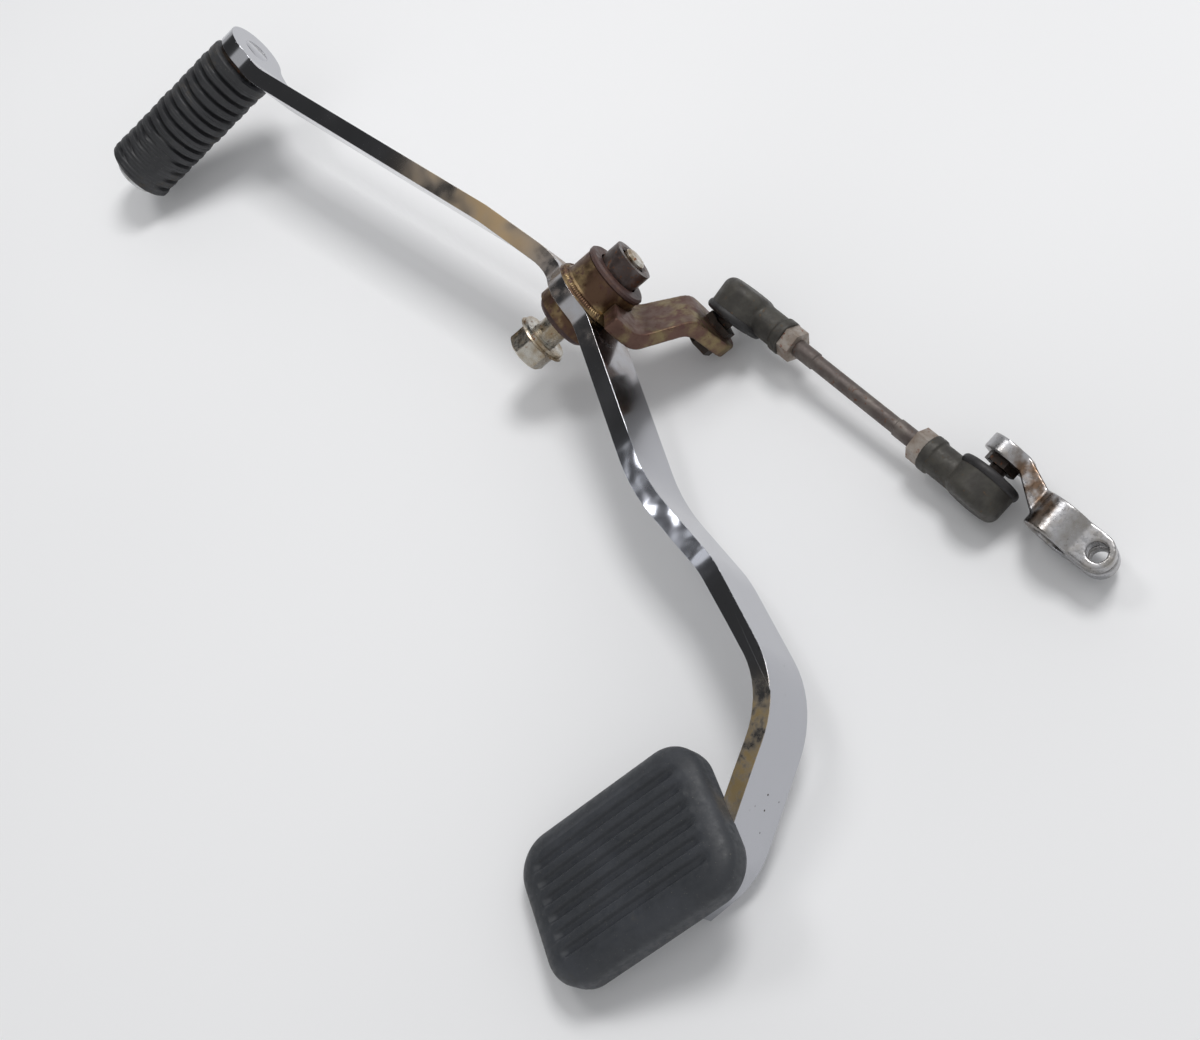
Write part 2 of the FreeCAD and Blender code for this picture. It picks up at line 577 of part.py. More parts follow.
def rounded_rectangle(sketch, length, width, corner):
    """A centred rectangle with filleted corners, every size bound to the sheet."""
    a = value_of(length) / 2
    b = value_of(width) / 2
    r = value_of(corner)
    ends = [((a - r, b), (r - a, b)), ((-a, b - r), (-a, r - b)),
            ((r - a, -b), (a - r, -b)), ((a, r - b), (a, b - r))]
    centres = [(r - a, b - r), (r - a, r - b), (a - r, r - b), (a - r, b - r)]
    for start, end in ends:
        sketch.addGeometry(Part.LineSegment(V(*start, 0), V(*end, 0)), False)
    for n, centre in enumerate(centres):
        first = math.radians(90 + 90 * n)
        circle = Part.Circle(V(*centre, 0), ALONG_Z, r)
        sketch.addGeometry(Part.ArcOfCircle(circle, first, first + math.pi / 2), False)
    for n in range(4):
        sketch.addConstraint(Sketcher.Constraint("Tangent", n, 2, 4 + n, 1))
        sketch.addConstraint(Sketcher.Constraint("Tangent", 4 + n, 2, (n + 1) % 4, 1))
        bound(sketch, Sketcher.Constraint("Radius", 4 + n, r), corner)
    sketch.addConstraint(Sketcher.Constraint("Horizontal", 0))
    sketch.addConstraint(Sketcher.Constraint("Vertical", 1))
    bound(sketch, Sketcher.Constraint("DistanceY", -1, 1, 0, 1, b), "(%s)/2" % width)
    bound(sketch, Sketcher.Constraint("DistanceY", 2, 1, -1, 1, b), "(%s)/2" % width)
    bound(sketch, Sketcher.Constraint("DistanceX", 1, 1, -1, 1, a), "(%s)/2" % length)
    bound(sketch, Sketcher.Constraint("DistanceX", -1, 1, 3, 1, a), "(%s)/2" % length)


def heel_plate():
    """Steel plate welded on the top edge of the heel arm."""
    plate = slab("heel_plate", "Dims.plate_x", "Dims.plate_y", "Dims.plate_gauge",
                 "Dims.plate_corner")
    place = pad_place("plate_top")
    place.Base.z -= size("plate_gauge")
    return finish("heel_plate", plate, place)


def heel_pad():
    """Moulded rubber cover: tapered sides, a raised rim, ribs across, a lip round the plate."""
    body = doc.addObject("PartDesign::Body", "heel_pad_body")
    base = flat_sketch(body, "pad_base", "XY_Plane")
    rounded_rectangle(base, "Dims.pad_base_x", "Dims.pad_base_y", "Dims.pad_corner+2")
    rings = []
    for n, (inward, below) in enumerate((("0", "1"), ("0.3", "0.35"), ("1", "0"))):
        ring = flat_sketch(body, "pad_ring_%d" % n, "XY_Plane")
        narrow = "-2*%s*Dims.pad_edge_round" % inward
        rounded_rectangle(ring, "Dims.pad_top_x" + narrow, "Dims.pad_top_y" + narrow,
                          "Dims.pad_corner-%s*Dims.pad_edge_round" % inward)
        bind(ring, AttachmentOffset__Base__z="Dims.pad_top-Dims.pad_floor-%s*Dims.pad_edge_round"
             % below)
        rings.append(ring)
    doc.recompute()
    loft = body.newObject("PartDesign::AdditiveLoft", "pad_loft")
    loft.Profile = base
    loft.Sections = rings
    loft.Ruled = True
    doc.recompute()
    body.Tip = loft
    depth = "Dims.pad_top-Dims.pad_floor"
    recess = slab("pad_recess", "Dims.pad_recess_x", "Dims.pad_recess_y", "20", "3")
    shift(recess, z=depth + "-Dims.pad_recess_depth")
    pocket = slab("pad_plate_pocket", "Dims.plate_x", "Dims.plate_y", "Dims.plate_gauge",
                  "Dims.plate_corner")
    shift(pocket, z="Dims.pad_lip")
    mouth = slab("pad_mouth", "Dims.plate_x-5", "Dims.plate_y-5", "Dims.pad_lip+1",
                 "Dims.plate_corner-2.5")
    shift(mouth, z="-0.5")
    shell = cut("pad_shell", body, recess, pocket, mouth, pad_arm_notch())
    ribs = [pad_rib(n) for n in range(int(size("pad_ribs")))]
    place = pad_place("pad_floor")
    return finish("heel_pad", fuse("heel_pad", shell, *ribs), place)


def pad_arm_notch():
    """The gap in the pad's lip through which the heel arm reaches the plate."""
    room = bent_strip("pad_notch_strip", HEEL_RUNS, "Dims.heel_bend_radius",
                      "Dims.bar_gauge+2*Dims.pad_notch_gap", "60")
    shift(room, "Dims.pad_centre_x", "-Dims.pad_centre_y", "0")
    slice_box = box("pad_notch_slice", "Dims.pad_base_x+10", "Dims.pad_base_y+10", "Dims.pad_lip+1")
    shift(slice_box, "-(Dims.pad_base_x+10)/2", "-(Dims.pad_base_y+10)/2", "-1")
    return common("pad_arm_notch", room, slice_box)


def pad_rib(n):
    """One rounded rib across the pad, its foot sunk in the recess floor."""
    pitch = "Dims.pad_recess_x/Dims.pad_ribs"
    rib = prim("Cylinder", "pad_rib_%d" % n, Radius="Dims.pad_rib_width/2",
               Height="Dims.pad_recess_y")
    rib.Placement = FreeCAD.Placement(V(0, 0, 0), FreeCAD.Rotation(ALONG_X, -90))
    floor = "Dims.pad_top-Dims.pad_floor-Dims.pad_recess_depth"
    return shift(rib, "(%d+0.5)*%s-Dims.pad_recess_x/2" % (n, pitch), "-Dims.pad_recess_y/2",
                 floor + "+Dims.pad_rib_height-Dims.pad_rib_width/2")


# ---------------------------------------------------------------- link arm and ball joints

def link_arm():
    """Flat arm welded to the underside of the boss, stepped inboard, its eye carrying the stud.
    Built with X from the pivot to the eye, then swung down about the pivot axis."""
    eye = side_disc("link_eye", "Dims.link_eye_radius", "Dims.link_reach")
    root = side_disc("link_root", "Dims.link_root_radius", "Dims.link_root_x", "-Dims.link_root_back")
    web = doc.addObject("Part::Feature", "link_web")
    web.Shape = tangent_web()
    side = fuse("link_outline", eye, root, web)
    strip = doc.addObject("PartDesign::Body", "link_strip")
    sketch = flat_sketch(strip, "link_path", "XY_Plane")
    half = "Dims.link_gauge/2"
    slope_end = "Dims.link_flat+Dims.link_slope_length"
    far = "Dims.link_reach+Dims.link_eye_radius+1"
    lag = "Dims.link_gauge*0.55"
    outline(sketch, [
        ("Dims.link_start", "-Dims.link_root_y-" + half),
        ("Dims.link_flat-%s" % lag, "-Dims.link_root_y-" + half),
        (slope_end + "-" + lag, "-Dims.link_end_y-" + half),
        (far, "-Dims.link_end_y-" + half),
        (far, half + "-Dims.link_end_y"),
        (slope_end, half + "-Dims.link_end_y"),
        ("Dims.link_flat", half + "-Dims.link_root_y"),
        ("Dims.link_start", half + "-Dims.link_root_y")])
    doc.recompute()
    pad = strip.newObject("PartDesign::Pad", "link_pad")
    pad.Profile = sketch
    pad.Midplane = True
    pad.Length = 60
    strip.Tip = pad
    doc.recompute()
    soft = rounded("link_strip_round", strip, size("link_bend_round"), step_edge)
    bent = common("link_bent", side, soft)
    tube_hole = side_disc("link_tube_hole", "Dims.tube_radius")
    stud_hole = side_disc("link_stud_hole", "Dims.stud_radius", "Dims.link_reach")
    arm = cut("link_arm", bent, tube_hole, stud_hole)
    swing = FreeCAD.Rotation(ALONG_Y, -180 - size("link_angle"))
    return finish("link_arm", arm, FreeCAD.Placement(V(0, 0, 0), swing))


def step_edge(edge):
    """The bends of the step: edges along Z that are not at the strip's ends."""
    if abs(edge.tangentAt(edge.FirstParameter).z) < 0.99:
        return False
    x = edge.Vertexes[0].Point.x
    return size("link_start") + 1 < x < size("link_flat") + size("link_slope_length") + 2


def tangent_web():
    """The flat between the arm's two round ends, bounded by their common tangents."""
    root = V(size("link_root_x"), 0, -size("link_root_back"))
    eye = V(size("link_reach"), 0, 0)
    span = eye - root
    lean = math.asin((size("link_root_radius") - size("link_eye_radius")) / span.Length)
    course = math.atan2(span.z, span.x)
    corners = []
    for centre, radius, side in ((root, size("link_root_radius"), 1), (eye, size("link_eye_radius"), 1),
                                 (eye, size("link_eye_radius"), -1),
                                 (root, size("link_root_radius"), -1)):
        turn = course + side * (math.pi / 2 - lean)
        corners.append(centre + V(radius * math.cos(turn), -180, radius * math.sin(turn)))
    wire = Part.makePolygon(corners + corners[:1])
    return Part.Face(wire).extrude(V(0, 360, 0))


def ball_stud(name, frame, shank):
    """Ball stud: spigot in the ball, neck, hexagon collar and threaded shank.
    Built with its ball centre at the origin and the shank towards Z."""
    far = "Dims.collar_face+Dims.collar_gauge+%s+Dims.stud_end_proud" % shank
    rod = turned(name + "_rod", [
        ("0", "-Dims.ball_radius*0.7"), ("Dims.ball_bore_radius-Dims.running_gap", "-Dims.ball_radius*0.7"),
        ("Dims.ball_bore_radius-Dims.running_gap", "Dims.ball_radius*0.85"),
        ("Dims.neck_radius", "Dims.ball_radius*0.9+0.2"), ("Dims.neck_radius", "Dims.collar_face"),
        ("Dims.stud_radius", "Dims.collar_face"), ("Dims.stud_radius", far + "-0.6"),
        ("Dims.stud_radius-0.6", far), ("0", far)])
    collar = hexagon(name + "_collar", "Dims.collar_flats", "Dims.collar_gauge")
    shift(collar, z="Dims.collar_face")
    return finish(name, fuse(name + "_solid", rod, collar), frame)


def ball(name, frame):
    """The ball, a separate bored sphere that turns on the stud's spigot."""
    sphere = prim("Sphere", name + "_sphere", Radius="Dims.ball_radius")
    band = cylinder(name + "_band", "Dims.ball_radius+1", "Dims.ball_radius*1.7")
    shift(band, z="-Dims.ball_radius*0.85")
    bore = cylinder(name + "_bore", "Dims.ball_bore_radius", "30")
    shift(bore, z="-15")
    return finish(name, cut(name, common(name + "_flats", sphere, band), bore), frame)


def stud_nut(name, frame, grip):
    """Plain hexagon nut on the stud's thread, tight against the arm."""
    nut = hexagon(name + "_hexagon", "Dims.nut_flats", "Dims.nut_gauge")
    base = "Dims.collar_face+Dims.collar_gauge+" + grip
    shift(nut, z=base)
    hole = cylinder(name + "_hole", "Dims.stud_radius", "60")
    return finish(name, cut(name, nut, hole), frame)


def rod_end(name, frame):
    """Socket housing: round head open on its Z side, shank along X, ring at the shank's end."""
    back = "-Dims.head_back"
    block = turned(name + "_block", [
        ("0", back), ("Dims.head_radius", back), ("Dims.head_radius", "Dims.head_front-0.6"),
        ("Dims.head_radius-0.6", "Dims.head_front"), ("0", "Dims.head_front")])
    head = rounded(name + "_head", block, size("head_edge_round"), back_edge)
    shank = cylinder(name + "_shank", "Dims.shank_radius", "Dims.shank_end")
    ring = cylinder(name + "_ring", "Dims.shank_ring_radius", "Dims.shank_ring_gauge")
    along = FreeCAD.Rotation(ALONG_Y, 90)
    shank.Placement = FreeCAD.Placement(V(0, 0, 0), along)
    ring.Placement = FreeCAD.Placement(V(0, 0, 0), along)
    shift(ring, "Dims.shank_end-Dims.shank_ring_gauge", z="0")
    socket = prim("Sphere", name + "_socket", Radius="Dims.ball_radius+Dims.socket_gap")
    mouth = cylinder(name + "_mouth", "Dims.mouth_radius", "20")
    shift(mouth, z="Dims.ball_radius*0.35")
    clip_seat = cylinder(name + "_clip_seat", "Dims.mouth_radius+0.7", "Dims.clip_gauge")
    shift(clip_seat, z="Dims.head_front-Dims.clip_gauge-0.8")
    tap = cylinder(name + "_tap", "Dims.rod_thread_radius", "40")
    tap.Placement = FreeCAD.Placement(V(0, 0, 0), along)
    shift(tap, "Dims.rod_insert")
    housing = cut(name, fuse(name + "_solid", head, shank, ring), socket, mouth, clip_seat, tap)
    return finish(name, housing, frame)


def back_edge(edge):
    """The rim of the housing's closed back."""
    return edge.Closed and abs(edge.BoundBox.ZMax + size("head_back")) < 0.01


def clip_ring(name, frame):
    """Spring ring that keeps the ball in its socket, seated in the groove of the mouth."""
    low = "Dims.head_front-Dims.clip_gauge-0.8"
    ring = turned(name, [
        ("Dims.clip_inner_radius", low), ("Dims.mouth_radius+0.7", low),
        ("Dims.mouth_radius+0.7", low + "+Dims.clip_gauge"),
        ("Dims.clip_inner_radius", low + "+Dims.clip_gauge")])
    ring.Placement = frame
    return ring


def clip_rings(frame_a, frame_b):
    pair = doc.addObject("Part::Compound", "clip_rings")
    pair.Links = [clip_ring("clip_a", frame_a), clip_ring("clip_b", frame_b)]
    return finish("clip_rings", pair)


def boot(name, frame):
    """Rubber boot: a bead round the head's mouth closing to a lip that clears the neck."""
    front = "Dims.head_front"
    dome = turned(name, [
        ("Dims.mouth_radius+0.9", front), ("Dims.boot_radius-0.5", front),
        ("Dims.boot_radius", front + "+0.5"), ("Dims.boot_radius", front + "+0.9"),
        ("Dims.boot_lip_radius", "Dims.boot_reach"), ("Dims.boot_mouth_radius", "Dims.boot_reach"),
        ("Dims.boot_mouth_radius", "Dims.boot_reach-Dims.boot_gauge*0.6")])
    return finish(name, dome, frame)


def link_rod(frame):
    """Shift rod: plain middle, a thread on each end screwed into the housings."""
    low = "Dims.rod_insert+0.3"
    high = "Dims.rod_length-Dims.rod_insert-0.3"
    rod = turned("link_rod", [
        ("0", low), ("Dims.rod_thread_radius-0.5", low), ("Dims.rod_thread_radius", low + "+0.5"),
        ("Dims.rod_thread_radius", low + "+Dims.rod_thread_length"),
        ("Dims.rod_radius", low + "+Dims.rod_thread_length+0.4"),
        ("Dims.rod_radius", high + "-Dims.rod_thread_length-0.4"),
        ("Dims.rod_thread_radius", high + "-Dims.rod_thread_length"),
        ("Dims.rod_thread_radius", high + "-0.5"), ("Dims.rod_thread_radius-0.5", high),
        ("0", high)])
    return finish("link_rod", rod, along_rod(frame))


def along_rod(frame):
    """The frame of the first joint, with Z down the rod."""
    return frame.multiply(FreeCAD.Placement(V(0, 0, 0), FreeCAD.Rotation(ALONG_Y, 90)))


def jam_nuts(frame):
    """Two lock nuts, tight against the ends of the housings."""
    nuts = []
    for name, base in (("near", "Dims.shank_end"),
                       ("far", "Dims.rod_length-Dims.shank_end-Dims.jam_gauge")):
        nut = hexagon("jam_%s_hexagon" % name, "Dims.nut_flats", "Dims.jam_gauge")
        shift(nut, z=base)
        hole = cylinder("jam_%s_hole" % name, "Dims.rod_thread_radius", "Dims.rod_length")
        nuts.append(cut("jam_" + name, nut, hole))
    pair = doc.addObject("Part::Compound", "jam_nut_pair")
    pair.Links = nuts
    return finish("jam_nuts", pair, along_rod(frame))


# ---------------------------------------------------------------- crank on the shift shaft

def shift_crank(frame):
    """Forged crank: stud eye, neck and split hub with a toothed bore and a pinch bolt hole.
    X runs from the eye to the hub, Z inboard along the stud, Y across the slit."""
    eye = cylinder("crank_eye", "Dims.crank_eye_radius", "Dims.crank_gauge")
    shift(eye, z="-Dims.crank_gauge/2")
    hub = cylinder("crank_hub", "Dims.hub_radius", "Dims.hub_width")
    hub_low = "-Dims.crank_stagger-Dims.hub_width/2"
    shift(hub, "Dims.crank_reach", z=hub_low)
    ears = prim("Box", "crank_ears", Length="Dims.ear_reach", Width="Dims.ear_height",
                Height="Dims.hub_width")
    shift(ears, "Dims.crank_reach", "-Dims.ear_height/2", hub_low)
    neck = crank_neck()
    rough = fuse("crank_rough", hub, ears)
    tongue = fuse("crank_tongue",
                  tongue_end("crank_tongue_end"), tongue_block("crank_tongue_block"))
    shaped = fuse("crank_shaped", common("crank_hub_shaped", rough, tongue), eye, neck)
    bore = toothed_bore()
    slit = prim("Box", "crank_slit", Length="40", Width="Dims.slit_width", Height="60")
    shift(slit, "Dims.crank_reach", "-Dims.slit_width/2", "-30")
    pinch = cylinder("crank_pinch", "Dims.pinch_radius", "60")
    pinch.Placement = FreeCAD.Placement(V(0, 0, 0), FreeCAD.Rotation(ALONG_X, 90))
    shift(pinch, "Dims.crank_reach+Dims.pinch_offset", "30", "-Dims.crank_stagger")
    stud_hole = cylinder("crank_stud_hole", "Dims.stud_radius", "60")
    shift(stud_hole, z="-30")
    solid = cut("shift_crank", shaped, bore, slit, pinch, stud_hole)
    place = frame.multiply(FreeCAD.Placement(V(0, 0, size("crank_eye_z")),
                                             FreeCAD.Rotation(ALONG_Z, 180)))
    return finish("shift_crank", solid, place)


def tongue_end(name):
    """The half-round tip of the hub, seen along the pinch bolt."""
    tip = cylinder(name, "Dims.hub_width/2", "60")
    tip.Placement = FreeCAD.Placement(V(0, 0, 0), FreeCAD.Rotation(ALONG_X, 90))
    return shift(tip, "Dims.crank_reach+Dims.ear_reach-Dims.hub_width/2", "30",
                 "-Dims.crank_stagger")


def tongue_block(name):
    block = prim("Box", name, Width="60", Height="Dims.hub_width",
                 Length="Dims.ear_reach-Dims.hub_width/2+Dims.hub_radius")
    return shift(block, "Dims.crank_reach-Dims.hub_radius", "-30",
                 "-Dims.crank_stagger-Dims.hub_width/2")


def crank_neck():
    """The waist between eye and hub, a loft that steps from one level to the other."""
    neck = doc.addObject("Part::Loft", "crank_neck")
    sections = []
    for n, (x, z, high, wide) in enumerate((
            ("Dims.crank_eye_radius*0.45", "0", "Dims.crank_gauge", "Dims.crank_eye_radius*1.7"),
            ("Dims.crank_eye_radius*0.85", "0", "Dims.crank_gauge", "Dims.crank_eye_radius*1.35"),
            ("Dims.crank_reach-Dims.hub_radius*0.95", "-Dims.crank_stagger*0.8",
             "Dims.hub_width*0.72", "Dims.hub_radius*1.1"),
            ("Dims.crank_reach-Dims.hub_radius*0.5", "-Dims.crank_stagger", "Dims.hub_width*0.8",
             "Dims.hub_radius*1.5"))):
        plane_item = prim("Plane", "crank_neck_%d" % n, Length=high, Width=wide)
        plane_item.Placement = FreeCAD.Placement(V(0, 0, 0), FreeCAD.Rotation(ALONG_Y, -90))
        shift(plane_item, x, "-(%s)/2" % wide, "%s-(%s)/2" % (z, high))
        sections.append(plane_item)
    neck.Sections = sections
    neck.Solid = True
    neck.Ruled = True
    return neck


def toothed_bore():
    """The bore that grips the shaft's serrations: a round wall with a ring of small V grooves."""
    count = int(size("tooth_count"))
    low = size("bore_radius") - 2 * size("tooth_depth")
    high = size("bore_radius") + size("tooth_depth")
    pitch = 2 * math.pi / count
    points = []
    for n in range(count):
        for share, radius in ((0.0, low), (0.5, high)):
            turn = pitch * (n + share)
            points.append(V(radius * math.cos(turn), radius * math.sin(turn), -30))
    star = doc.addObject("Part::Feature", "crank_bore_star")
    star.Shape = Part.Face(Part.makePolygon(points + points[:1])).extrude(V(0, 0, 60))
    round_wall = cylinder("crank_bore_round", "Dims.bore_radius", "60")
    shift(round_wall, z="-30")
    bore = fuse("crank_bore", star, round_wall)
    bind(bore, Placement__Base__x="Dims.crank_reach")
    return bore


# ---------------------------------------------------------------- build and export

def bench_placement():
    """The attitude in which the part lies on the bench, about the centre of the sleeve's end."""
    tilt = FreeCAD.Rotation(ALONG_X, -size("bench_tilt"))
    roll = FreeCAD.Rotation(ALONG_Y, size("bench_roll"))
    turn = tilt.multiply(roll)
    return FreeCAD.Placement(turn.multVec(V(0, size("sleeve_inboard"), 0)), turn)


def lay_on_bench():
    bench = bench_placement()
    for _, item, place in finished:
        item.Placement = bench.multiply(place)
    doc.recompute()


def export():
    for item in doc.Objects:
        if "Invalid" in item.State or "Error" in item.State:
            raise RuntimeError("%s did not compute: %s" % (item.Name, item.State))
    for name, item, _ in finished:
        if item.Shape.isNull() or not item.Shape.isValid():
            raise RuntimeError("%s has no valid shape" % name)
        item.Shape.exportStep(os.path.join("parts", name + ".step"))
        print(name, len(item.Shape.Solids), "solid(s)", round(item.Shape.Volume, 1))


boss_tube(lever_bar())
pivot_bushes()
dust_seals()
pivot_sleeve()
pivot_bolt()
toe_peg()
toe_grip()
heel_plate()
heel_pad()
link_arm()
FRAME_A, FRAME_B = joint_frames()
STUD_A = FreeCAD.Placement(FRAME_A.Base, FreeCAD.Rotation(ALONG_X, -90))
ball_stud("ball_stud_lever", STUD_A, "Dims.link_gauge+Dims.nut_gauge")
stud_nut("stud_nut", STUD_A, "Dims.link_gauge")
ball("ball_lever", STUD_A)
rod_end("rod_end_lever", FRAME_A)
boot("boot_lever", FRAME_A)
link_rod(FRAME_A)
jam_nuts(FRAME_A)
rod_end("rod_end_crank", FRAME_B)
boot("boot_crank", FRAME_B)
clip_rings(FRAME_A, FRAME_B)
ball("ball_crank", FRAME_B)
ball_stud("ball_stud_crank", FRAME_B, "Dims.crank_gauge")
shift_crank(FRAME_B)
lay_on_bench()
export()
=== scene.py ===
"""Looks of a motorcycle's heel-and-toe gear shift lever, lying on a white table."""
import json
import math

import bmesh
import bpy
from mathutils import Matrix, Vector


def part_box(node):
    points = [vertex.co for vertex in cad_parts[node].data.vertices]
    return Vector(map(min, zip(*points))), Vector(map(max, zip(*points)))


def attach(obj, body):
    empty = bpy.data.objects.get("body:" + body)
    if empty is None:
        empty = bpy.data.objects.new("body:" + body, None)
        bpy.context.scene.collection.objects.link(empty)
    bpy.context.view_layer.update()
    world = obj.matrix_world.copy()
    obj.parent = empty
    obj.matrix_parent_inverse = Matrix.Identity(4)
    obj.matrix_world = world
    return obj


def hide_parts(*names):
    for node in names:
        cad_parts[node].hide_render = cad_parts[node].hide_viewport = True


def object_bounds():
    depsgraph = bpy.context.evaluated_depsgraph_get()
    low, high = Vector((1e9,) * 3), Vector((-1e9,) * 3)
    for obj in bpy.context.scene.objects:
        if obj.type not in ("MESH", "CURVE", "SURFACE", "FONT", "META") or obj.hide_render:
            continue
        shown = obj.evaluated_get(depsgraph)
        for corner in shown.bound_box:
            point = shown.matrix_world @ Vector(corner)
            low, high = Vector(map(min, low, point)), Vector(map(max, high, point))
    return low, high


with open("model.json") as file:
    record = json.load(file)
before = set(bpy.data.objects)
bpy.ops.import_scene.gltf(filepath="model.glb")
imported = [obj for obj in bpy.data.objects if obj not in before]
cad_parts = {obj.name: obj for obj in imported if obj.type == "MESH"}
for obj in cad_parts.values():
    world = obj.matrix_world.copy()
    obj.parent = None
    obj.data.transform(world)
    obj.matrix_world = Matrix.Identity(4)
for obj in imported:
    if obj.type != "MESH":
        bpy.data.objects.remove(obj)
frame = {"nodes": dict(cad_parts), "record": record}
cad_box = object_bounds()
nodes = frame["nodes"]
record = frame["record"]

MM = 0.001

# How close corners are merged, in a CAD node's copy and in a new piece, and how level joined faces are.
JOIN_WITHIN = 0.002 * MM
MERGE_WITHIN = 0.001 * MM
FLAT_WITHIN = math.radians(0.4)

# The photograph's camera, in metres and degrees.
PHOTO_WIDTH = 1200
FOCAL_PIXELS = 1648.7
SENSOR_MM = 36.0
CAMERA_AT = (-0.3387, 0.0332, 0.4230)
CAMERA_TURN = (27.793, 14.933, -112.931)

# The table and the room. A wall's level goes by how far it lies towards the dark side.
TABLE_SIZE = 6.0
TABLE_GAP = 0.1 * MM
DARK_SIDE = (0.51, 0.58, 0.64)
ROOM_LEVELS = ((0.0, 0.58), (0.80, 0.58), (0.90, 0.07), (1.0, 0.05))

# The kinds of node that the finishes are made of, and the settings that many of them share.
NOISE = "ShaderNodeTexNoise"
RANGE = "ShaderNodeMapRange"
MATH = "ShaderNodeMath"
VECTOR_MATH = "ShaderNodeVectorMath"
MIX = "ShaderNodeMix"
BUMP = "ShaderNodeBump"
CLOUDS = {"noise_dimensions": "4D", "Detail": 4.0, "Roughness": 0.55}
EASED = {"interpolation_type": "SMOOTHSTEP"}
PRODUCT = {"operation": "MULTIPLY", "use_clamp": True}
SUM = {"operation": "ADD"}
PAINT = {"data_type": "RGBA"}


# ------------------------------------------------------------------ colours and nodes
def ink(code):
    """A colour written as sRGB hex, turned to the linear values that Blender works in."""
    parts = [int(code[n:n + 2], 16) / 255 for n in (1, 3, 5)]
    return tuple([p / 12.92 if p <= 0.04045 else ((p + 0.055) / 1.055) ** 2.4 for p in parts] + [1.0])


def per_mm(size):
    """The scale of a pattern whose features are this many millimetres apart."""
    return 1 / (size * MM)


def socket(sockets, name):
    """The socket of this number, or the one in use of this name: a node may have several called A."""
    if isinstance(name, int):
        return sockets[name]
    return next(one for one in sockets if one.name == name and one.enabled)


def feed(tree, node, **links):
    """Links sources to a node's sockets: _0 is its first, and Base_Color is Base Color. A source that is
    a node stands for its first output in use."""
    for name, source in links.items():
        if isinstance(source, bpy.types.Node):
            source = next(out for out in source.outputs if out.enabled)
        target = int(name[1:]) if name[1:].isdigit() else name.replace("_", " ")
        tree.links.new(source, socket(node.inputs, target))


def add(tree, kind, settings=None, **links):
    """Adds a node with its settings, each named as the node's own attribute or socket, and its links."""
    made = tree.nodes.new(kind)
    for name, value in (settings or {}).items():
        if isinstance(name, str) and hasattr(made, name):
            setattr(made, name, value)
        else:
            socket(made.inputs, name).default_value = value
    feed(tree, made, **links)
    return made


def finish_named(name):
    """A new material with its tree, its shader, and the coordinates that stay with the piece."""
    made = bpy.data.materials.new(name)
    made.use_nodes = True
    tree = made.node_tree
    return made, tree, tree.nodes["Principled BSDF"], add(tree, "ShaderNodeTexCoord").outputs["Object"]


def near(tree, place, spot, full, gone):
    """1 within so many millimetres of a spot, fading to 0 at so many."""
    away = add(tree, VECTOR_MATH, {"operation": "DISTANCE", 1: spot}, _0=place)
    return add(tree, RANGE, {**EASED, "From Min": full * MM, "From Max": gone * MM, "To Min": 1.0,
                             "To Max": 0.0}, Value=away)


# ------------------------------------------------------------------ places on the part
def middle(node):
    """The middle of a node's box."""
    low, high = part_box(node)
    return tuple((a + b) / 2 for a, b in zip(low, high))


def reach(node, way):
    """How far a node reaches along a direction, from the origin: the least and the most."""
    along = [corner.co.dot(way) for corner in nodes[node].data.vertices]
    return min(along), max(along)


def flat_frame(node):
    """The long edge's direction, the short edge's and the upper normal of a flat plate."""
    faces = sorted(nodes[node].data.polygons, key=lambda face: face.area)
    normal = faces[-1].normal.copy()
    normal = normal if normal.z > 0 else -normal
    corners = [v.co.copy() for v in nodes[node].data.vertices]
    flat = [c - normal * c.dot(normal) for c in corners]
    trial = [normal.orthogonal().normalized()]
    trial += [Matrix.Rotation(math.radians(k), 3, normal) @ trial[0] for k in range(1, 180)]
    spread = [max(c.dot(t) for c in flat) - min(c.dot(t) for c in flat) for t in trial]
    short = trial[spread.index(min(spread))]
    return normal.cross(short), short, normal


mounts = {mount["name"]: mount for mount in record["mounts"]}
joints = {joint["name"]: joint for joint in record["behaviour"]["joints"]}
body_of = {node: body for body, members in record["behaviour"]["bodies"].items() for node in members}

# Directions and spots on the part. The two distances without MM are in millimetres.
OUTBOARD = -Vector(mounts["sleeve_end"]["axis"])
SLEEVE_END = Vector(mounts["sleeve_end"]["pos_m"])
SLEEVE_END_TO_BAR = 22.6
PIVOT = SLEEVE_END + OUTBOARD * SLEEVE_END_TO_BAR * MM
BAR_FACE = 3.6
GRIP_MIDDLE = Vector(middle("toe_grip"))
HEEL_END = Vector(middle("heel_plate"))
RUBBED_SIDE = Vector((-1.25, -0.40, 1.00))
UPPER_EDGE = (0.02, 0.36, 0.93)
STRAW_SPOT = (48 * MM, 40 * MM, 0.0)
# Where the heel arm is rippled, and where a painted blue-white reflection lies on its upper edge.
RIPPLE_AND_PAINTED_REFLECTION_SPOT = (-84 * MM, 29 * MM, -8 * MM)
HEEL_STAIN = (-166 * MM, 40 * MM, -8 * MM)
CRANK_NECK = (-128 * MM, -71 * MM, -21 * MM)

# Two pairs of the bar's corners, in millimetres, where its stretches meet at different heights.
BAR_LEDGE = (((-126.73, 27.94, -7.22), (-126.95, 27.38, -8.67)),
             ((-126.73, 24.63, -5.93), (-126.95, 24.06, -7.38)))


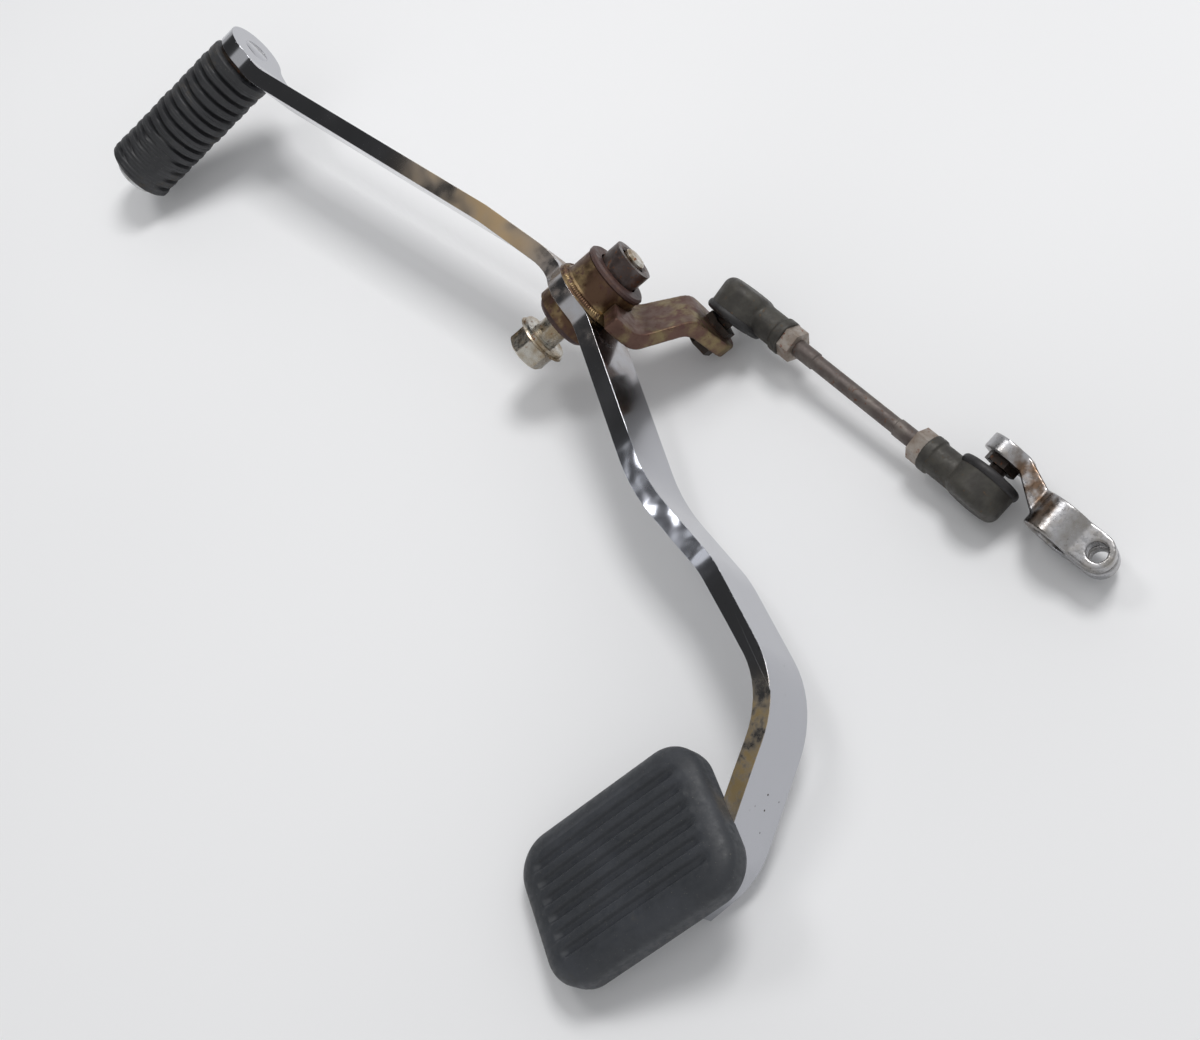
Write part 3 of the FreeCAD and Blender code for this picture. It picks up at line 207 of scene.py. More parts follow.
# ------------------------------------------------------------------ finishes
def chrome_plated_bar():
    """Nickel-chrome plate on a forged flat bar: mirror bright, hazed by age, with a straw film near
    the pivot, ripples left by the forging in the heel arm, a painted blue-white reflection along their
    upper edge, and small rust pits towards the heel."""
    made, tree, shader, place = finish_named("chrome_plated_bar")
    shader.inputs["Metallic"].default_value = 1.0
    facing = add(tree, VECTOR_MATH, {"operation": "DOT_PRODUCT", 1: UPPER_EDGE},
                 _0=place.node.outputs["Normal"])
    edge = add(tree, RANGE, {**EASED, "From Min": 0.70, "From Max": 0.90}, Value=facing)
    haze = add(tree, NOISE, {**CLOUDS, "Scale": per_mm(22)}, Vector=place)

    # The straw film, mostly on the upper edge.
    cloud = add(tree, NOISE, {**CLOUDS, "Scale": per_mm(26), "Detail": 3.0}, Vector=place)
    patches = add(tree, RANGE, {**EASED, "From Min": 0.22, "From Max": 0.60}, Value=cloud)
    straw = add(tree, MATH, PRODUCT, _0=near(tree, place, STRAW_SPOT, 16, 50), _1=patches)
    mostly_edge = add(tree, RANGE, {**EASED, "To Min": 0.12}, Value=edge)
    straw = add(tree, MATH, PRODUCT, _0=straw, _1=mostly_edge)

    # The grey-brown film that the heat of welding left round the boss.
    cloud = add(tree, NOISE, {**CLOUDS, "Scale": per_mm(9)}, Vector=place)
    patches = add(tree, RANGE, {**EASED, "From Min": 0.34, "From Max": 0.72}, Value=cloud)
    film = add(tree, MATH, PRODUCT, _0=near(tree, place, PIVOT, 10, 38), _1=patches)

    # A smeared stain on the edge above the heel pad.
    smear = add(tree, NOISE, {**CLOUDS, "Scale": per_mm(4), "Detail": 5.0, "Roughness": 0.6, "W": 2.0},
                Vector=place)
    patches = add(tree, RANGE, {**EASED, "From Min": 0.20, "From Max": 0.62}, Value=smear)
    on_edge = add(tree, MATH, PRODUCT, _0=edge, _1=patches)
    stain = add(tree, MATH, PRODUCT, _0=near(tree, place, HEEL_STAIN, 10, 30), _1=on_edge)

    # Pits, in loose groups towards the heel.
    cells = add(tree, "ShaderNodeTexVoronoi", {"Scale": per_mm(3)}, Vector=place)
    holes = add(tree, RANGE, {**EASED, "From Min": 0.08, "From Max": 0.14, "To Min": 1.0, "To Max": 0.0},
                Value=cells)
    cloud = add(tree, NOISE, {**CLOUDS, "Scale": per_mm(30), "Detail": 2.0, "Roughness": 0.5, "W": 5.0},
                Vector=place)
    patches = add(tree, RANGE, {**EASED, "From Min": 0.52, "From Max": 0.62}, Value=cloud)
    pits = add(tree, MATH, PRODUCT, _0=holes, _1=patches)
    pits = add(tree, MATH, PRODUCT, _0=pits, _1=near(tree, place, HEEL_END, 70, 130))

    # Clean plate, with a painted blue-white reflection of the window on the upper edge where the heel arm is
    # rippled, then the films, the stain and the pits over it.
    painted_reflection = add(tree, MATH, PRODUCT, _0=edge, _1=near(tree, place, RIPPLE_AND_PAINTED_REFLECTION_SPOT, 18, 34))
    colour = add(tree, MIX, {**PAINT, "A": ink("#b9babf"), "B": ink("#e8ecf8")}, Factor=painted_reflection)
    colour = add(tree, MIX, {**PAINT, "B": ink("#cbb18b")}, Factor=straw, A=colour)
    colour = add(tree, MIX, {**PAINT, "B": ink("#a08f80")}, Factor=film, A=colour)
    colour = add(tree, MIX, {**PAINT, "B": ink("#a8946e")}, Factor=stain, A=colour)
    darkened = add(tree, RANGE, {**EASED, "From Min": 0.3, "From Max": 0.5}, Value=haze)
    rusted = add(tree, MATH, PRODUCT, _0=pits, _1=darkened)
    colour = add(tree, MIX, {**PAINT, "B": ink("#3d332c")}, Factor=rusted, A=colour)

    # The haze, the films and the hammering each take some of the shine.
    hammered = add(tree, MATH, PRODUCT, _0=edge, _1=near(tree, place, RIPPLE_AND_PAINTED_REFLECTION_SPOT, 18, 30))
    hazed = add(tree, RANGE, {**EASED, "From Min": 0.3, "From Max": 0.75, "To Min": 0.08, "To Max": 0.20},
                Value=haze)
    films = add(tree, MATH, SUM, _0=add(tree, MATH, SUM, _0=straw, _1=film), _1=stain)
    filmed = add(tree, RANGE, {**EASED, "To Max": 0.38}, Value=films)
    dull = add(tree, MATH, SUM, _0=hazed, _1=filmed)
    dull = add(tree, MATH, SUM, _0=dull, _1=add(tree, RANGE, {**EASED, "To Max": 0.16}, Value=hammered))

    # Slow waves all over, the hammered ripples, and the pits.
    slow = add(tree, NOISE, {**CLOUDS, "Scale": per_mm(9), "Detail": 1.0}, Vector=place)
    relief = add(tree, BUMP, {"Strength": 0.30, "Distance": 0.10 * MM}, Height=slow)
    broad = add(tree, NOISE, {**CLOUDS, "Scale": per_mm(8), "Detail": 0.0, "Roughness": 0.5, "W": 3.0},
                Vector=place)
    small = add(tree, NOISE, {**CLOUDS, "Scale": per_mm(6), "Detail": 0.0}, Vector=place)
    swell = add(tree, MATH, SUM, _0=broad, _1=add(tree, RANGE, {**EASED, "To Max": 0.30}, Value=small))
    ripple = add(tree, MATH, PRODUCT, _0=swell, _1=hammered)
    relief = add(tree, BUMP, {"Strength": 1.0, "Distance": 3.2 * MM}, Height=ripple, Normal=relief)
    whole = add(tree, MATH, {"operation": "SUBTRACT", 0: 1.0}, _1=pits)
    relief = add(tree, BUMP, {"Strength": 0.5, "Distance": 0.04 * MM}, Height=whole, Normal=relief)
    feed(tree, shader, Base_Color=colour, Roughness=dull, Normal=relief)
    return made


def heat_stained_plate(name, gold, brown, mauve, rough):
    """Chrome plate burnt by welding: straw, brown and mauve oxide colours with rust in patches."""
    made, tree, shader, place = finish_named(name)
    shader.inputs["Metallic"].default_value = 0.9
    patch = add(tree, NOISE, {**CLOUDS, "Scale": per_mm(9)}, Vector=place)
    streak = add(tree, NOISE, {**CLOUDS, "Scale": per_mm(3.2), "Detail": 5.0, "Roughness": 0.6, "W": 3.0},
                 Vector=place)
    fleck = add(tree, NOISE, {**CLOUDS, "Scale": per_mm(0.9), "Detail": 3.0, "Roughness": 0.6, "W": 6.0},
                Vector=place)
    browned = add(tree, RANGE, {**EASED, "From Min": 0.34, "From Max": 0.54}, Value=patch)
    bruised = add(tree, RANGE, {**EASED, "From Min": 0.50, "From Max": 0.66}, Value=streak)
    rusted = add(tree, RANGE, {**EASED, "From Min": 0.60, "From Max": 0.72, "To Max": 0.7}, Value=fleck)
    colour = add(tree, MIX, {**PAINT, "A": ink(gold), "B": ink(brown)}, Factor=browned)
    colour = add(tree, MIX, {**PAINT, "B": ink(mauve)}, Factor=bruised, A=colour)
    colour = add(tree, MIX, {**PAINT, "B": ink("#4a2c1c")}, Factor=rusted, A=colour)
    dull = add(tree, RANGE, {**EASED, "From Min": 0.35, "From Max": 0.7, "To Min": rough,
                             "To Max": rough + 0.28}, Value=streak)
    relief = add(tree, BUMP, {"Strength": 0.5, "Distance": 0.05 * MM}, Height=fleck)
    feed(tree, shader, Base_Color=colour, Roughness=dull, Normal=relief)
    return made


def moulded_rubber(name, body, worn, dirt, dirt_share):
    """Moulded nitrile rubber: charcoal, dull, with olive-brown road dust in patches. Its
    specks are drawn coarser than the real ones, so that they show."""
    made, tree, shader, place = finish_named(name)
    shader.inputs["IOR"].default_value = 1.52
    patch = add(tree, NOISE, {**CLOUDS, "Scale": per_mm(16)}, Vector=place)
    mottle = add(tree, NOISE, {**CLOUDS, "Scale": per_mm(2.2), "Detail": 5.0, "Roughness": 0.65, "W": 2.0},
                 Vector=place)
    speck = add(tree, NOISE, {**CLOUDS, "Scale": per_mm(0.5), "Detail": 2.0, "Roughness": 0.5, "W": 7.0},
                Vector=place)
    rubbed = add(tree, RANGE, {**EASED, "From Min": 0.40, "From Max": 0.66}, Value=patch)
    caught = add(tree, RANGE, {**EASED, "From Min": 0.46, "From Max": 0.66}, Value=mottle)
    sheltered = add(tree, RANGE, {**EASED, "From Min": 0.62 - dirt_share, "From Max": 0.80 - dirt_share},
                    Value=patch)
    dusty = add(tree, MATH, PRODUCT, _0=caught, _1=sheltered)
    flecked = add(tree, RANGE, {**EASED, "From Min": 0.66, "From Max": 0.74, "To Max": 0.5}, Value=speck)
    colour = add(tree, MIX, {**PAINT, "A": ink(body), "B": ink(worn)}, Factor=rubbed)
    colour = add(tree, MIX, {**PAINT, "B": ink(dirt)}, Factor=dusty, A=colour)
    colour = add(tree, MIX, {**PAINT, "B": ink("#6d6a60")}, Factor=flecked, A=colour)
    dull = add(tree, RANGE, {**EASED, "From Min": 0.3, "From Max": 0.7, "To Min": 0.42, "To Max": 0.66},
               Value=mottle)
    relief = add(tree, BUMP, {"Strength": 0.35, "Distance": 0.10 * MM}, Height=mottle)
    relief = add(tree, BUMP, {"Strength": 0.4, "Distance": 0.04 * MM}, Height=speck, Normal=relief)
    feed(tree, shader, Base_Color=colour, Roughness=dull, Normal=relief)
    return made


def rusting_steel(name, bare, stain, rust, metal, rough, rust_share):
    """Steel whose zinc plate is going: grey-brown, with soft rust patches and a fine grain, which is
    drawn coarser than the real one, so that it shows."""
    made, tree, shader, place = finish_named(name)
    shader.inputs["Metallic"].default_value = metal
    patch = add(tree, NOISE, {**CLOUDS, "Scale": per_mm(6)}, Vector=place)
    spot = add(tree, NOISE, {**CLOUDS, "Scale": per_mm(1.6), "Roughness": 0.65, "W": 4.0}, Vector=place)
    fine = add(tree, NOISE, {**CLOUDS, "Scale": per_mm(0.45), "Detail": 2.0, "Roughness": 0.5, "W": 8.0},
               Vector=place)
    stained = add(tree, RANGE, {**EASED, "From Min": 0.36, "From Max": 0.62}, Value=patch)
    rusty = add(tree, RANGE, {**EASED, "From Min": 0.64 - 0.12 * rust_share,
                              "From Max": 0.74 - 0.12 * rust_share}, Value=spot)
    colour = add(tree, MIX, {**PAINT, "A": ink(bare), "B": ink(stain)}, Factor=stained)
    colour = add(tree, MIX, {**PAINT, "B": ink(rust)}, Factor=rusty, A=colour)
    dull = add(tree, RANGE, {**EASED, "From Min": 0.35, "From Max": 0.7, "To Min": rough,
                             "To Max": rough + 0.25}, Value=spot)
    relief = add(tree, BUMP, {"Strength": 0.5, "Distance": 0.03 * MM}, Height=fine)
    relief = add(tree, BUMP, {"Strength": 0.5, "Distance": 0.05 * MM}, Height=rusty, Normal=relief)
    feed(tree, shader, Base_Color=colour, Roughness=dull, Normal=relief)
    return made


def forged_crank_finish():
    """Forged steel, tumbled and nickel plated: soft grey shine, browned in the neck by handling."""
    made, tree, shader, place = finish_named("forged_crank_nickel")
    shader.inputs["Metallic"].default_value = 1.0
    patch = add(tree, NOISE, {**CLOUDS, "Scale": per_mm(7)}, Vector=place)
    mottle = add(tree, NOISE, {**CLOUDS, "Scale": per_mm(1.3), "Roughness": 0.6, "W": 3.0}, Vector=place)
    greyed = add(tree, RANGE, {**EASED, "From Min": 0.35, "From Max": 0.65}, Value=patch)
    patches = add(tree, RANGE, {**EASED, "From Min": 0.36, "From Max": 0.58}, Value=patch)
    browned = add(tree, MATH, PRODUCT, _0=near(tree, place, CRANK_NECK, 7, 17), _1=patches)
    marked = add(tree, RANGE, {**EASED, "From Min": 0.60, "From Max": 0.72, "To Max": 0.6}, Value=mottle)
    colour = add(tree, MIX, {**PAINT, "A": ink("#b3b3b6"), "B": ink("#98948f")}, Factor=greyed)
    colour = add(tree, MIX, {**PAINT, "B": ink("#6d5a4b")}, Factor=browned, A=colour)
    colour = add(tree, MIX, {**PAINT, "B": ink("#5c5048")}, Factor=marked, A=colour)
    dull = add(tree, RANGE, {**EASED, "From Min": 0.3, "From Max": 0.7, "To Min": 0.22, "To Max": 0.40},
               Value=mottle)
    relief = add(tree, BUMP, {"Strength": 0.5, "Distance": 0.25 * MM}, Height=patch)
    relief = add(tree, BUMP, {"Strength": 0.5, "Distance": 0.06 * MM}, Height=mottle, Normal=relief)
    feed(tree, shader, Base_Color=colour, Roughness=dull, Normal=relief)
    return made


def dress(material, *names):
    """Gives CAD nodes a finish."""
    for name in names:
        for place in nodes[name].material_slots:
            place.material = material


chrome = chrome_plated_bar()
crank_steel = forged_crank_finish()

# The gold, the brown and the mauve of the stain, and how rough it is.
stained_boss = heat_stained_plate("heat_stained_boss", "#9c8764", "#5e4839", "#5b4440", 0.30)
stained_arm = heat_stained_plate("heat_stained_link_arm", "#857656", "#664e45", "#6a4f4a", 0.36)

# The rubber as moulded and where it is worn, its dust, and how much of that there is.
toe_rubber = moulded_rubber("toe_rubber", "#232427", "#2d2e31", "#423c33", 0.10)
heel_rubber = moulded_rubber("heel_rubber", "#2b2e33", "#34373d", "#47443a", 0.02)
boot_rubber = moulded_rubber("boot_rubber", "#1b1a1b", "#262426", "#3a332b", 0.05)
seal_rubber = moulded_rubber("seal_rubber", "#3c2a28", "#4a3430", "#5a4034", 0.15)

# The bare steel, its stain and its rust, then how metallic, how rough and how rusty it is.
cap_zinc = rusting_steel("zinc_plated_peg", "#d3d5d8", "#b9b9b8", "#7d7060", 0.6, 0.34, 0.1)
hard_steel = rusting_steel("case_hardened_sleeve", "#6a6260", "#4c4240", "#6b4a36", 0.8, 0.30, 0.8)
bolt_plate = rusting_steel("plated_bolt", "#c6c3bb", "#a09078", "#84502a", 1.0, 0.20, 0.45)
bronze = rusting_steel("sintered_bronze", "#8f6b3a", "#6e5230", "#4a3a24", 0.9, 0.4, 0.2)
black_steel = rusting_steel("blackened_stud_steel", "#3a322c", "#2b2420", "#5a3a28", 0.7, 0.38, 0.6)
housing_plate = rusting_steel("dull_plated_housing", "#4a4843", "#3a3835", "#5a4a3a", 0.4, 0.46, 0.4)
rod_steel = rusting_steel("tarnished_rod", "#6d6661", "#5b5350", "#66483a", 0.5, 0.42, 0.5)
nut_steel = rusting_steel("tarnished_lock_nut", "#a39c95", "#85786d", "#7a5040", 0.6, 0.42, 0.6)

dress(chrome, "heel_plate")
dress(stained_boss, "pivot_tube")
dress(seal_rubber, "dust_seal_outer", "dust_seal_inner")
dress(cap_zinc, "clip_rings")
dress(hard_steel, "pivot_sleeve")
dress(bolt_plate, "pivot_bolt", "bolt_washer")
dress(bronze, "pivot_bushes")
dress(black_steel, "ball_stud_lever", "stud_nut", "ball_stud_crank", "ball_lever", "ball_crank",
      "peg_base_disc")
dress(rod_steel, "link_rod")
dress(nut_steel, "jam_nuts")


# ------------------------------------------------------------------ making pieces
def settle(piece, material, node, stands_for=()):
    """Gives a piece its finish, ties it to the body of a CAD node, and hides the CAD nodes that it stands
    for.
    """
    if not piece.data.materials:
        piece.data.materials.append(material)
    bpy.context.scene.collection.objects.link(piece)
    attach(piece, body_of[node])
    if stands_for:
        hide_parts(*stands_for)


def baked(holder, name):
    """The holder with its modifiers applied, as a new piece; the holder goes."""
    view = bpy.context.evaluated_depsgraph_get()
    mesh = bpy.data.meshes.new_from_object(holder.evaluated_get(view))
    mesh.name = name
    bpy.data.objects.remove(holder)
    return bpy.data.objects.new(name, mesh)


def joined_copy(node, ledges=()):
    """A holder with a CAD node's loose triangles joined, and each of its flats made one face.
    A ledge is a pair of corners, in millimetres, that are drawn together."""
    work = bmesh.new()
    work.from_mesh(nodes[node].data)
    bmesh.ops.remove_doubles(work, verts=work.verts, dist=JOIN_WITHIN)
    bmesh.ops.dissolve_limit(work, angle_limit=FLAT_WITHIN, verts=work.verts, edges=work.edges)
    for ledge in ledges:
        pair = [min(work.verts, key=lambda v: (v.co - Vector(spot) * MM).length) for spot in ledge]
        bmesh.ops.pointmerge(work, verts=pair, merge_co=(pair[0].co + pair[1].co) / 2)
    mesh = bpy.data.meshes.new(node + "_joined")
    work.to_mesh(mesh)
    work.free()
    mesh.materials.clear()
    holder = bpy.data.objects.new(node + "_joined", mesh)
    bpy.context.scene.collection.objects.link(holder)
    return holder


def eased(node, material, round_mm, ledges=()):
    """The node with its hard edges rounded off, as grinding and plating leave them."""
    holder = joined_copy(node, ledges)
    holder.data.shade_smooth()
    ease = holder.modifiers.new("ease", "BEVEL")
    ease.width = round_mm * MM
    ease.segments = 4
    ease.limit_method = "ANGLE"
    ease.angle_limit = math.radians(50)
    ease.use_clamp_overlap = True
    flats = holder.modifiers.new("flats", "WEIGHTED_NORMAL")
    flats.weight = 100
    settle(baked(holder, node + "_eased"), material, node, [node])


def softened(node, material, voxel_mm, passes):
    """The node with its edges worn soft, as forging, casting and plating leave them."""
    holder = joined_copy(node)
    fine = holder.modifiers.new("fine", "REMESH")
    fine.mode = "VOXEL"
    fine.voxel_size = voxel_mm * MM
    calm = holder.modifiers.new("calm", "SMOOTH")
    calm.factor = 0.5
    calm.iterations = passes
    piece = baked(holder, node + "_softened")
    piece.data.shade_smooth()
    settle(piece, material, node, [node])


def round_of_faces(row, after, around):
    """The faces between two rings of as many points each."""
    for k in range(around):
        step = (k + 1) % around
        yield row * around + k, row * around + step, after * around + step, after * around + k


def smooth_piece(name, points, faces, crease):
    """A closed piece, smooth except where its faces meet at more than so many degrees."""
    mesh = bpy.data.meshes.new(name)
    mesh.from_pydata(points, [], faces)
    work = bmesh.new()
    work.from_mesh(mesh)
    bmesh.ops.remove_doubles(work, verts=work.verts, dist=MERGE_WITHIN)
    bmesh.ops.recalc_face_normals(work, faces=work.faces)
    work.to_mesh(mesh)
    work.free()
    mesh.shade_smooth()
    mesh.set_sharp_from_angle(angle=math.radians(crease))
    return bpy.data.objects.new(name, mesh)


def lathed(name, rows, at, way, around, shape=None):
    """A closed ring of rows (along, radius) in millimetres turned about an axis.
    shape(along, radius, turn) may change a radius, as grooves or a worn spot do."""
    way = Vector(way).normalized()
    side = way.orthogonal().normalized()
    cross = way.cross(side)
    points = []
    for along, radius in rows:
        for k in range(around):
            turn = 2 * math.pi * k / around
            out = shape(along, radius, turn) if shape else radius
            points.append(Vector(at) + way * along * MM
                          + (side * math.cos(turn) + cross * math.sin(turn)) * out * MM)
    faces = [face for row in range(len(rows)) for face in round_of_faces(row, (row + 1) % len(rows), around)]
    return smooth_piece(name, points, faces, crease=42)


# ------------------------------------------------------------------ toe peg
def toe_grip_piece():
    """The ribbed rubber of the toe peg: flat lands between narrow grooves, and near its end, on the
    side where the boot rubs, the lands worn level."""
    length, bore, land, collar = 61.5, 6.2, 13.0, 5.5
    grooves, groove_width, groove_depth, rounding = 13, 1.5, 1.9, 0.28
    first, step, sway, swell, ripple = 0.8, 0.2, 0.14, 0.12, 0.07
    worn_from, worn_fade, worn_width, worn_depth = 19, 1.2, 0.95, 0.9
    pitch = (length - collar) / grooves
    side = OUTBOARD.orthogonal().normalized()
    rub = math.atan2(RUBBED_SIDE.dot(OUTBOARD.cross(side)), RUBBED_SIDE.dot(side))

    def worn_land(along, radius, turn):
        """The radius of the lands. The odd numbers set one land's waves apart from the next one's."""
        if radius < land:
            return radius
        spot = along + length / 2 - collar
        number = round(spot / pitch)
        groove = number * pitch + sway * math.sin(turn * 2 + number * 1.7)
        gap = abs(spot - groove)
        lift = swell * math.sin(number * 2.3 + turn) + ripple * math.sin(5 * turn + number * 1.3)
        off = math.remainder(turn - rub, 2 * math.pi)
        edge = along - length / 2 + worn_from + 3 * math.sin(turn * 3)
        worn = math.exp(-(off / worn_width) ** 4) / (1 + math.exp(-edge / worn_fade))
        deep = 0.0
        if -0.5 * pitch < spot < (grooves - 0.5) * pitch:
            deep = groove_depth * max(0.0, 1 - (gap / (groove_width * 0.55)) ** 3)
            deep += rounding * max(0.0, 1 - gap / 1.5)
        skin = 0.10 * math.sin(along * 2.9 + 4 * turn) * math.sin(turn * 7 - along * 1.3)
        return land + lift * (1 - worn) - deep * (1 - 0.97 * worn) - worn_depth * worn + skin * worn * 1.6

    rows = [(-length / 2, bore), (-length / 2, land - 1.2), (-length / 2 + 0.5, land - 0.3)]
    along = first
    while along < length - first:
        rows.append((along - length / 2, land))
        along += step
    rows += [(length / 2 - 0.5, land - 0.4), (length / 2, land - 1.2), (length / 2, bore)]
    piece = lathed("toe_grip_ribbed", rows, GRIP_MIDDLE, OUTBOARD, around=144, shape=worn_land)
    settle(piece, toe_rubber, "toe_grip", ["toe_grip"])


def toe_peg_piece():
    """The steel peg: its rivet end dressed flush with the eye, its outer end a shallow dished cap."""
    rivet, core, cap = 5.0, 6.2, 8.6
    low, high = (end / MM for end in reach("toe_peg", OUTBOARD))
    centre = GRIP_MIDDLE - OUTBOARD * GRIP_MIDDLE.dot(OUTBOARD)
    rows = [(low + 0.02, 0.0), (low + 0.02, rivet - 0.1), (low + 0.1, rivet), (low + 6.0, rivet),
            (low + 6.0, core), (high - 3.2, core), (high - 3.2, cap - 0.3), (high - 2.9, cap),
            (high - 1.1, cap), (high - 0.4, cap - 0.7), (high, cap - 2.0), (high - 0.1, cap - 3.4),
            (high - 0.6, cap - 5.0), (high - 0.9, 0.0)]
    piece = lathed("toe_peg_turned", rows, centre, OUTBOARD, around=72)
    piece.data.materials.append(cap_zinc)
    piece.data.materials.append(chrome)
    for face in piece.data.polygons:
        face.material_index = 1 if (face.center - centre).dot(OUTBOARD) < (low + 1) * MM else 0
    settle(piece, cap_zinc, "toe_peg", ["toe_peg"])


# ------------------------------------------------------------------ ball joints
def joint_boot(node, joint):
    """Rubber boot of a ball joint: a thick round bead over the housing's rim, a thin neck on the stud."""
    ball = Vector(joints[joint]["pos_m"])
    corners = [v.co for v in nodes[node].data.vertices]
    way = (sum(corners, Vector()) / len(corners) - ball).normalized()
    bead = [(4.1, 9.7), (4.2, 10.1), (4.7, 10.4), (5.6, 10.5), (6.3, 10.3), (6.8, 9.8), (7.0, 9.1)]
    neck = [(6.9, 8.4), (6.8, 8.0), (7.0, 7.3), (7.3, 6.8), (7.4, 6.2), (7.4, 5.3)]
    inside = [(6.6, 5.3), (5.9, 6.1), (5.7, 9.2), (5.2, 9.7)]
    piece = lathed(node + "_moulded", bead + neck + inside, ball, way, around=84)
    settle(piece, boot_rubber, node, [node])


# ------------------------------------------------------------------ heel pad
CORNER_POINTS = 26
SIDE_POINTS = 80


def rounded_outline(half_long, half_short, corner):
    """Points round a rectangle with round corners: always as many on each side and corner, so that
    rings of any size join one to one."""
    points = []
    centres = ((1, 1), (-1, 1), (-1, -1), (1, -1))
    for quarter, (sx, sy) in enumerate(centres):
        x, y = sx * (half_long - corner), sy * (half_short - corner)
        for k in range(CORNER_POINTS):
            turn = math.pi / 2 * (quarter + k / CORNER_POINTS)
            points.append((x + corner * math.cos(turn), y + corner * math.sin(turn)))
        nx, ny = centres[(quarter + 1) % 4]
        turn = math.pi / 2 * (quarter + 1)
        start = (x + corner * math.cos(turn), y + corner * math.sin(turn))
        end = (nx * (half_long - corner) + corner * math.cos(turn),
               ny * (half_short - corner) + corner * math.sin(turn))
        for k in range(SIDE_POINTS):
            share = k / SIDE_POINTS
            points.append((start[0] + (end[0] - start[0]) * share, start[1] + (end[1] - start[1]) * share))
    return points


def soft_step(share):
    """Eases a share from 0 to 1, and holds it beyond."""
    share = max(0.0, min(1.0, share))
    return share * share * (3 - 2 * share)


def heel_pad_piece():
    """The heel pad: a thick moulding with broad soft shoulders and seven low ridges, whose lip
    wraps under the plate."""
    half_long, half_short, corner, top_corner, crown = 33.9, 24.25, 12.0, 7.0, 0.9
    shoulder_in, shoulder_down, shoulder_rings, top_rings = 6.5, 4.6, 12, 105
    field_long, field_short, field_fade = 28.6, 19.8, 4.5
    outer_ridge, pitch, ridge_width, ridge_side, groove = 3, 5.6, 3.1, 1.5, 1.3
    lip, pocket = 7.0, 3.95
    long, short, normal = flat_frame("heel_plate")
    low, high = (end / MM - HEEL_END.dot(normal) / MM for end in reach("heel_pad", normal))
    plate_low, plate_high = (end / MM - HEEL_END.dot(normal) / MM for end in reach("heel_plate", normal))

    def tread(x, y):
        """How far the top lies below its crown: the grooves between the ridges, inside the field."""
        field = soft_step(min(field_long - abs(x), field_short - abs(y)) / field_fade)
        number = max(-outer_ridge, min(outer_ridge, round(y / pitch)))
        away = math.hypot(abs(y - number * pitch), max(0.0, abs(x) - (field_long - 3.0)) * 0.6)
        return -groove * field * (1 - soft_step((ridge_width / 2 + ridge_side / 2 - away) / ridge_side))

    # Each ring: its half sizes, its corner, how far it is drawn in, its height, and its crown.
    rings = []
    for step in range(top_rings + 1):
        share = max(step / top_rings, 0.004)
        rings.append((half_long - shoulder_in, half_short - shoulder_in, top_corner, share,
                      high - crown, crown))
    for step in range(1, shoulder_rings + 1):
        turn = math.pi / 2 * step / shoulder_rings
        left = 1 - math.sin(turn)
        rings.append((half_long - shoulder_in * left, half_short - shoulder_in * left,
                      corner - (corner - top_corner) * left, 1.0,
                      high - crown - shoulder_down * (1 - math.cos(turn)), 0.0))

    # The side rolls under into the lip, and the pocket above the lip holds the plate.
    for inset, height in ((0.0, low + 2.4), (0.15, low + 1.2), (0.7, low + 0.3), (1.6, low), (6.6, low),
                          (lip, low + 0.3), (lip, plate_low), (pocket, plate_low), (pocket, plate_high)):
        rings.append((half_long - inset, half_short - inset, corner - inset * 0.6, 1.0, height, 0.0))
    rings.append((half_long - pocket, half_short - pocket, 9.6, 0.02, plate_high, 0.0))

    around = 4 * (CORNER_POINTS + SIDE_POINTS)
    points = []
    for a, b, radius, share, height, crown_here in rings:
        for x, y in rounded_outline(a, b, radius):
            x, y = x * share, y * share
            lift = crown_here * (1 - (x / half_long) ** 2) * (1 - (y / half_short) ** 2)
            drop = tread(x, y) if crown_here else 0.0
            points.append(HEEL_END + (long * x + short * y + normal * (height + lift + drop)) * MM)
    faces = [face for row in range(len(rings) - 1) for face in round_of_faces(row, row + 1, around)]
    faces += [tuple(range(around)), tuple(range((len(rings) - 1) * around, len(rings) * around))]
    piece = smooth_piece("heel_pad_moulded", points, faces, crease=60)
    settle(piece, heel_rubber, "heel_pad", ["heel_pad"])


# ------------------------------------------------------------------ weld
def bead_tree():
    """Weld bead: overlapping drops set along an arc."""
    tree = bpy.data.node_groups.new("weld_bead", "GeometryNodeTree")
    face = tree.interface
    face.new_socket("Bead", in_out="OUTPUT", socket_type="NodeSocketGeometry")
    for name in ("Ring Radius", "Drop Size", "Spacing", "Start", "Sweep"):
        face.new_socket(name, in_out="INPUT", socket_type="NodeSocketFloat")
    face.new_socket("Steel", in_out="INPUT", socket_type="NodeSocketMaterial")
    given = add(tree, "NodeGroupInput").outputs
    arc = add(tree, "GeometryNodeCurveArc", {"Resolution": 96}, Radius=given["Ring Radius"],
              Start_Angle=given["Start"], Sweep_Angle=given["Sweep"])
    spots = add(tree, "GeometryNodeCurveToPoints", {"mode": "LENGTH"}, Curve=arc, Length=given["Spacing"])
    drop = add(tree, "GeometryNodeMeshUVSphere", {"Segments": 14, "Rings": 9}, Radius=given["Drop Size"])
    vary = add(tree, "FunctionNodeRandomValue", {"data_type": "FLOAT_VECTOR", "Seed": 7,
                                                 "Min": (0.90, 0.95, 0.60), "Max": (1.06, 1.08, 0.66)})
    made = add(tree, "GeometryNodeInstanceOnPoints", Points=spots, Instance=drop,
               Rotation=spots.outputs["Rotation"], Scale=vary)
    real = add(tree, "GeometryNodeRealizeInstances", Geometry=made)
    steel = add(tree, "GeometryNodeSetMaterial", Geometry=real, Material=given["Steel"])
    add(tree, "NodeGroupOutput", Bead=steel)
    return tree


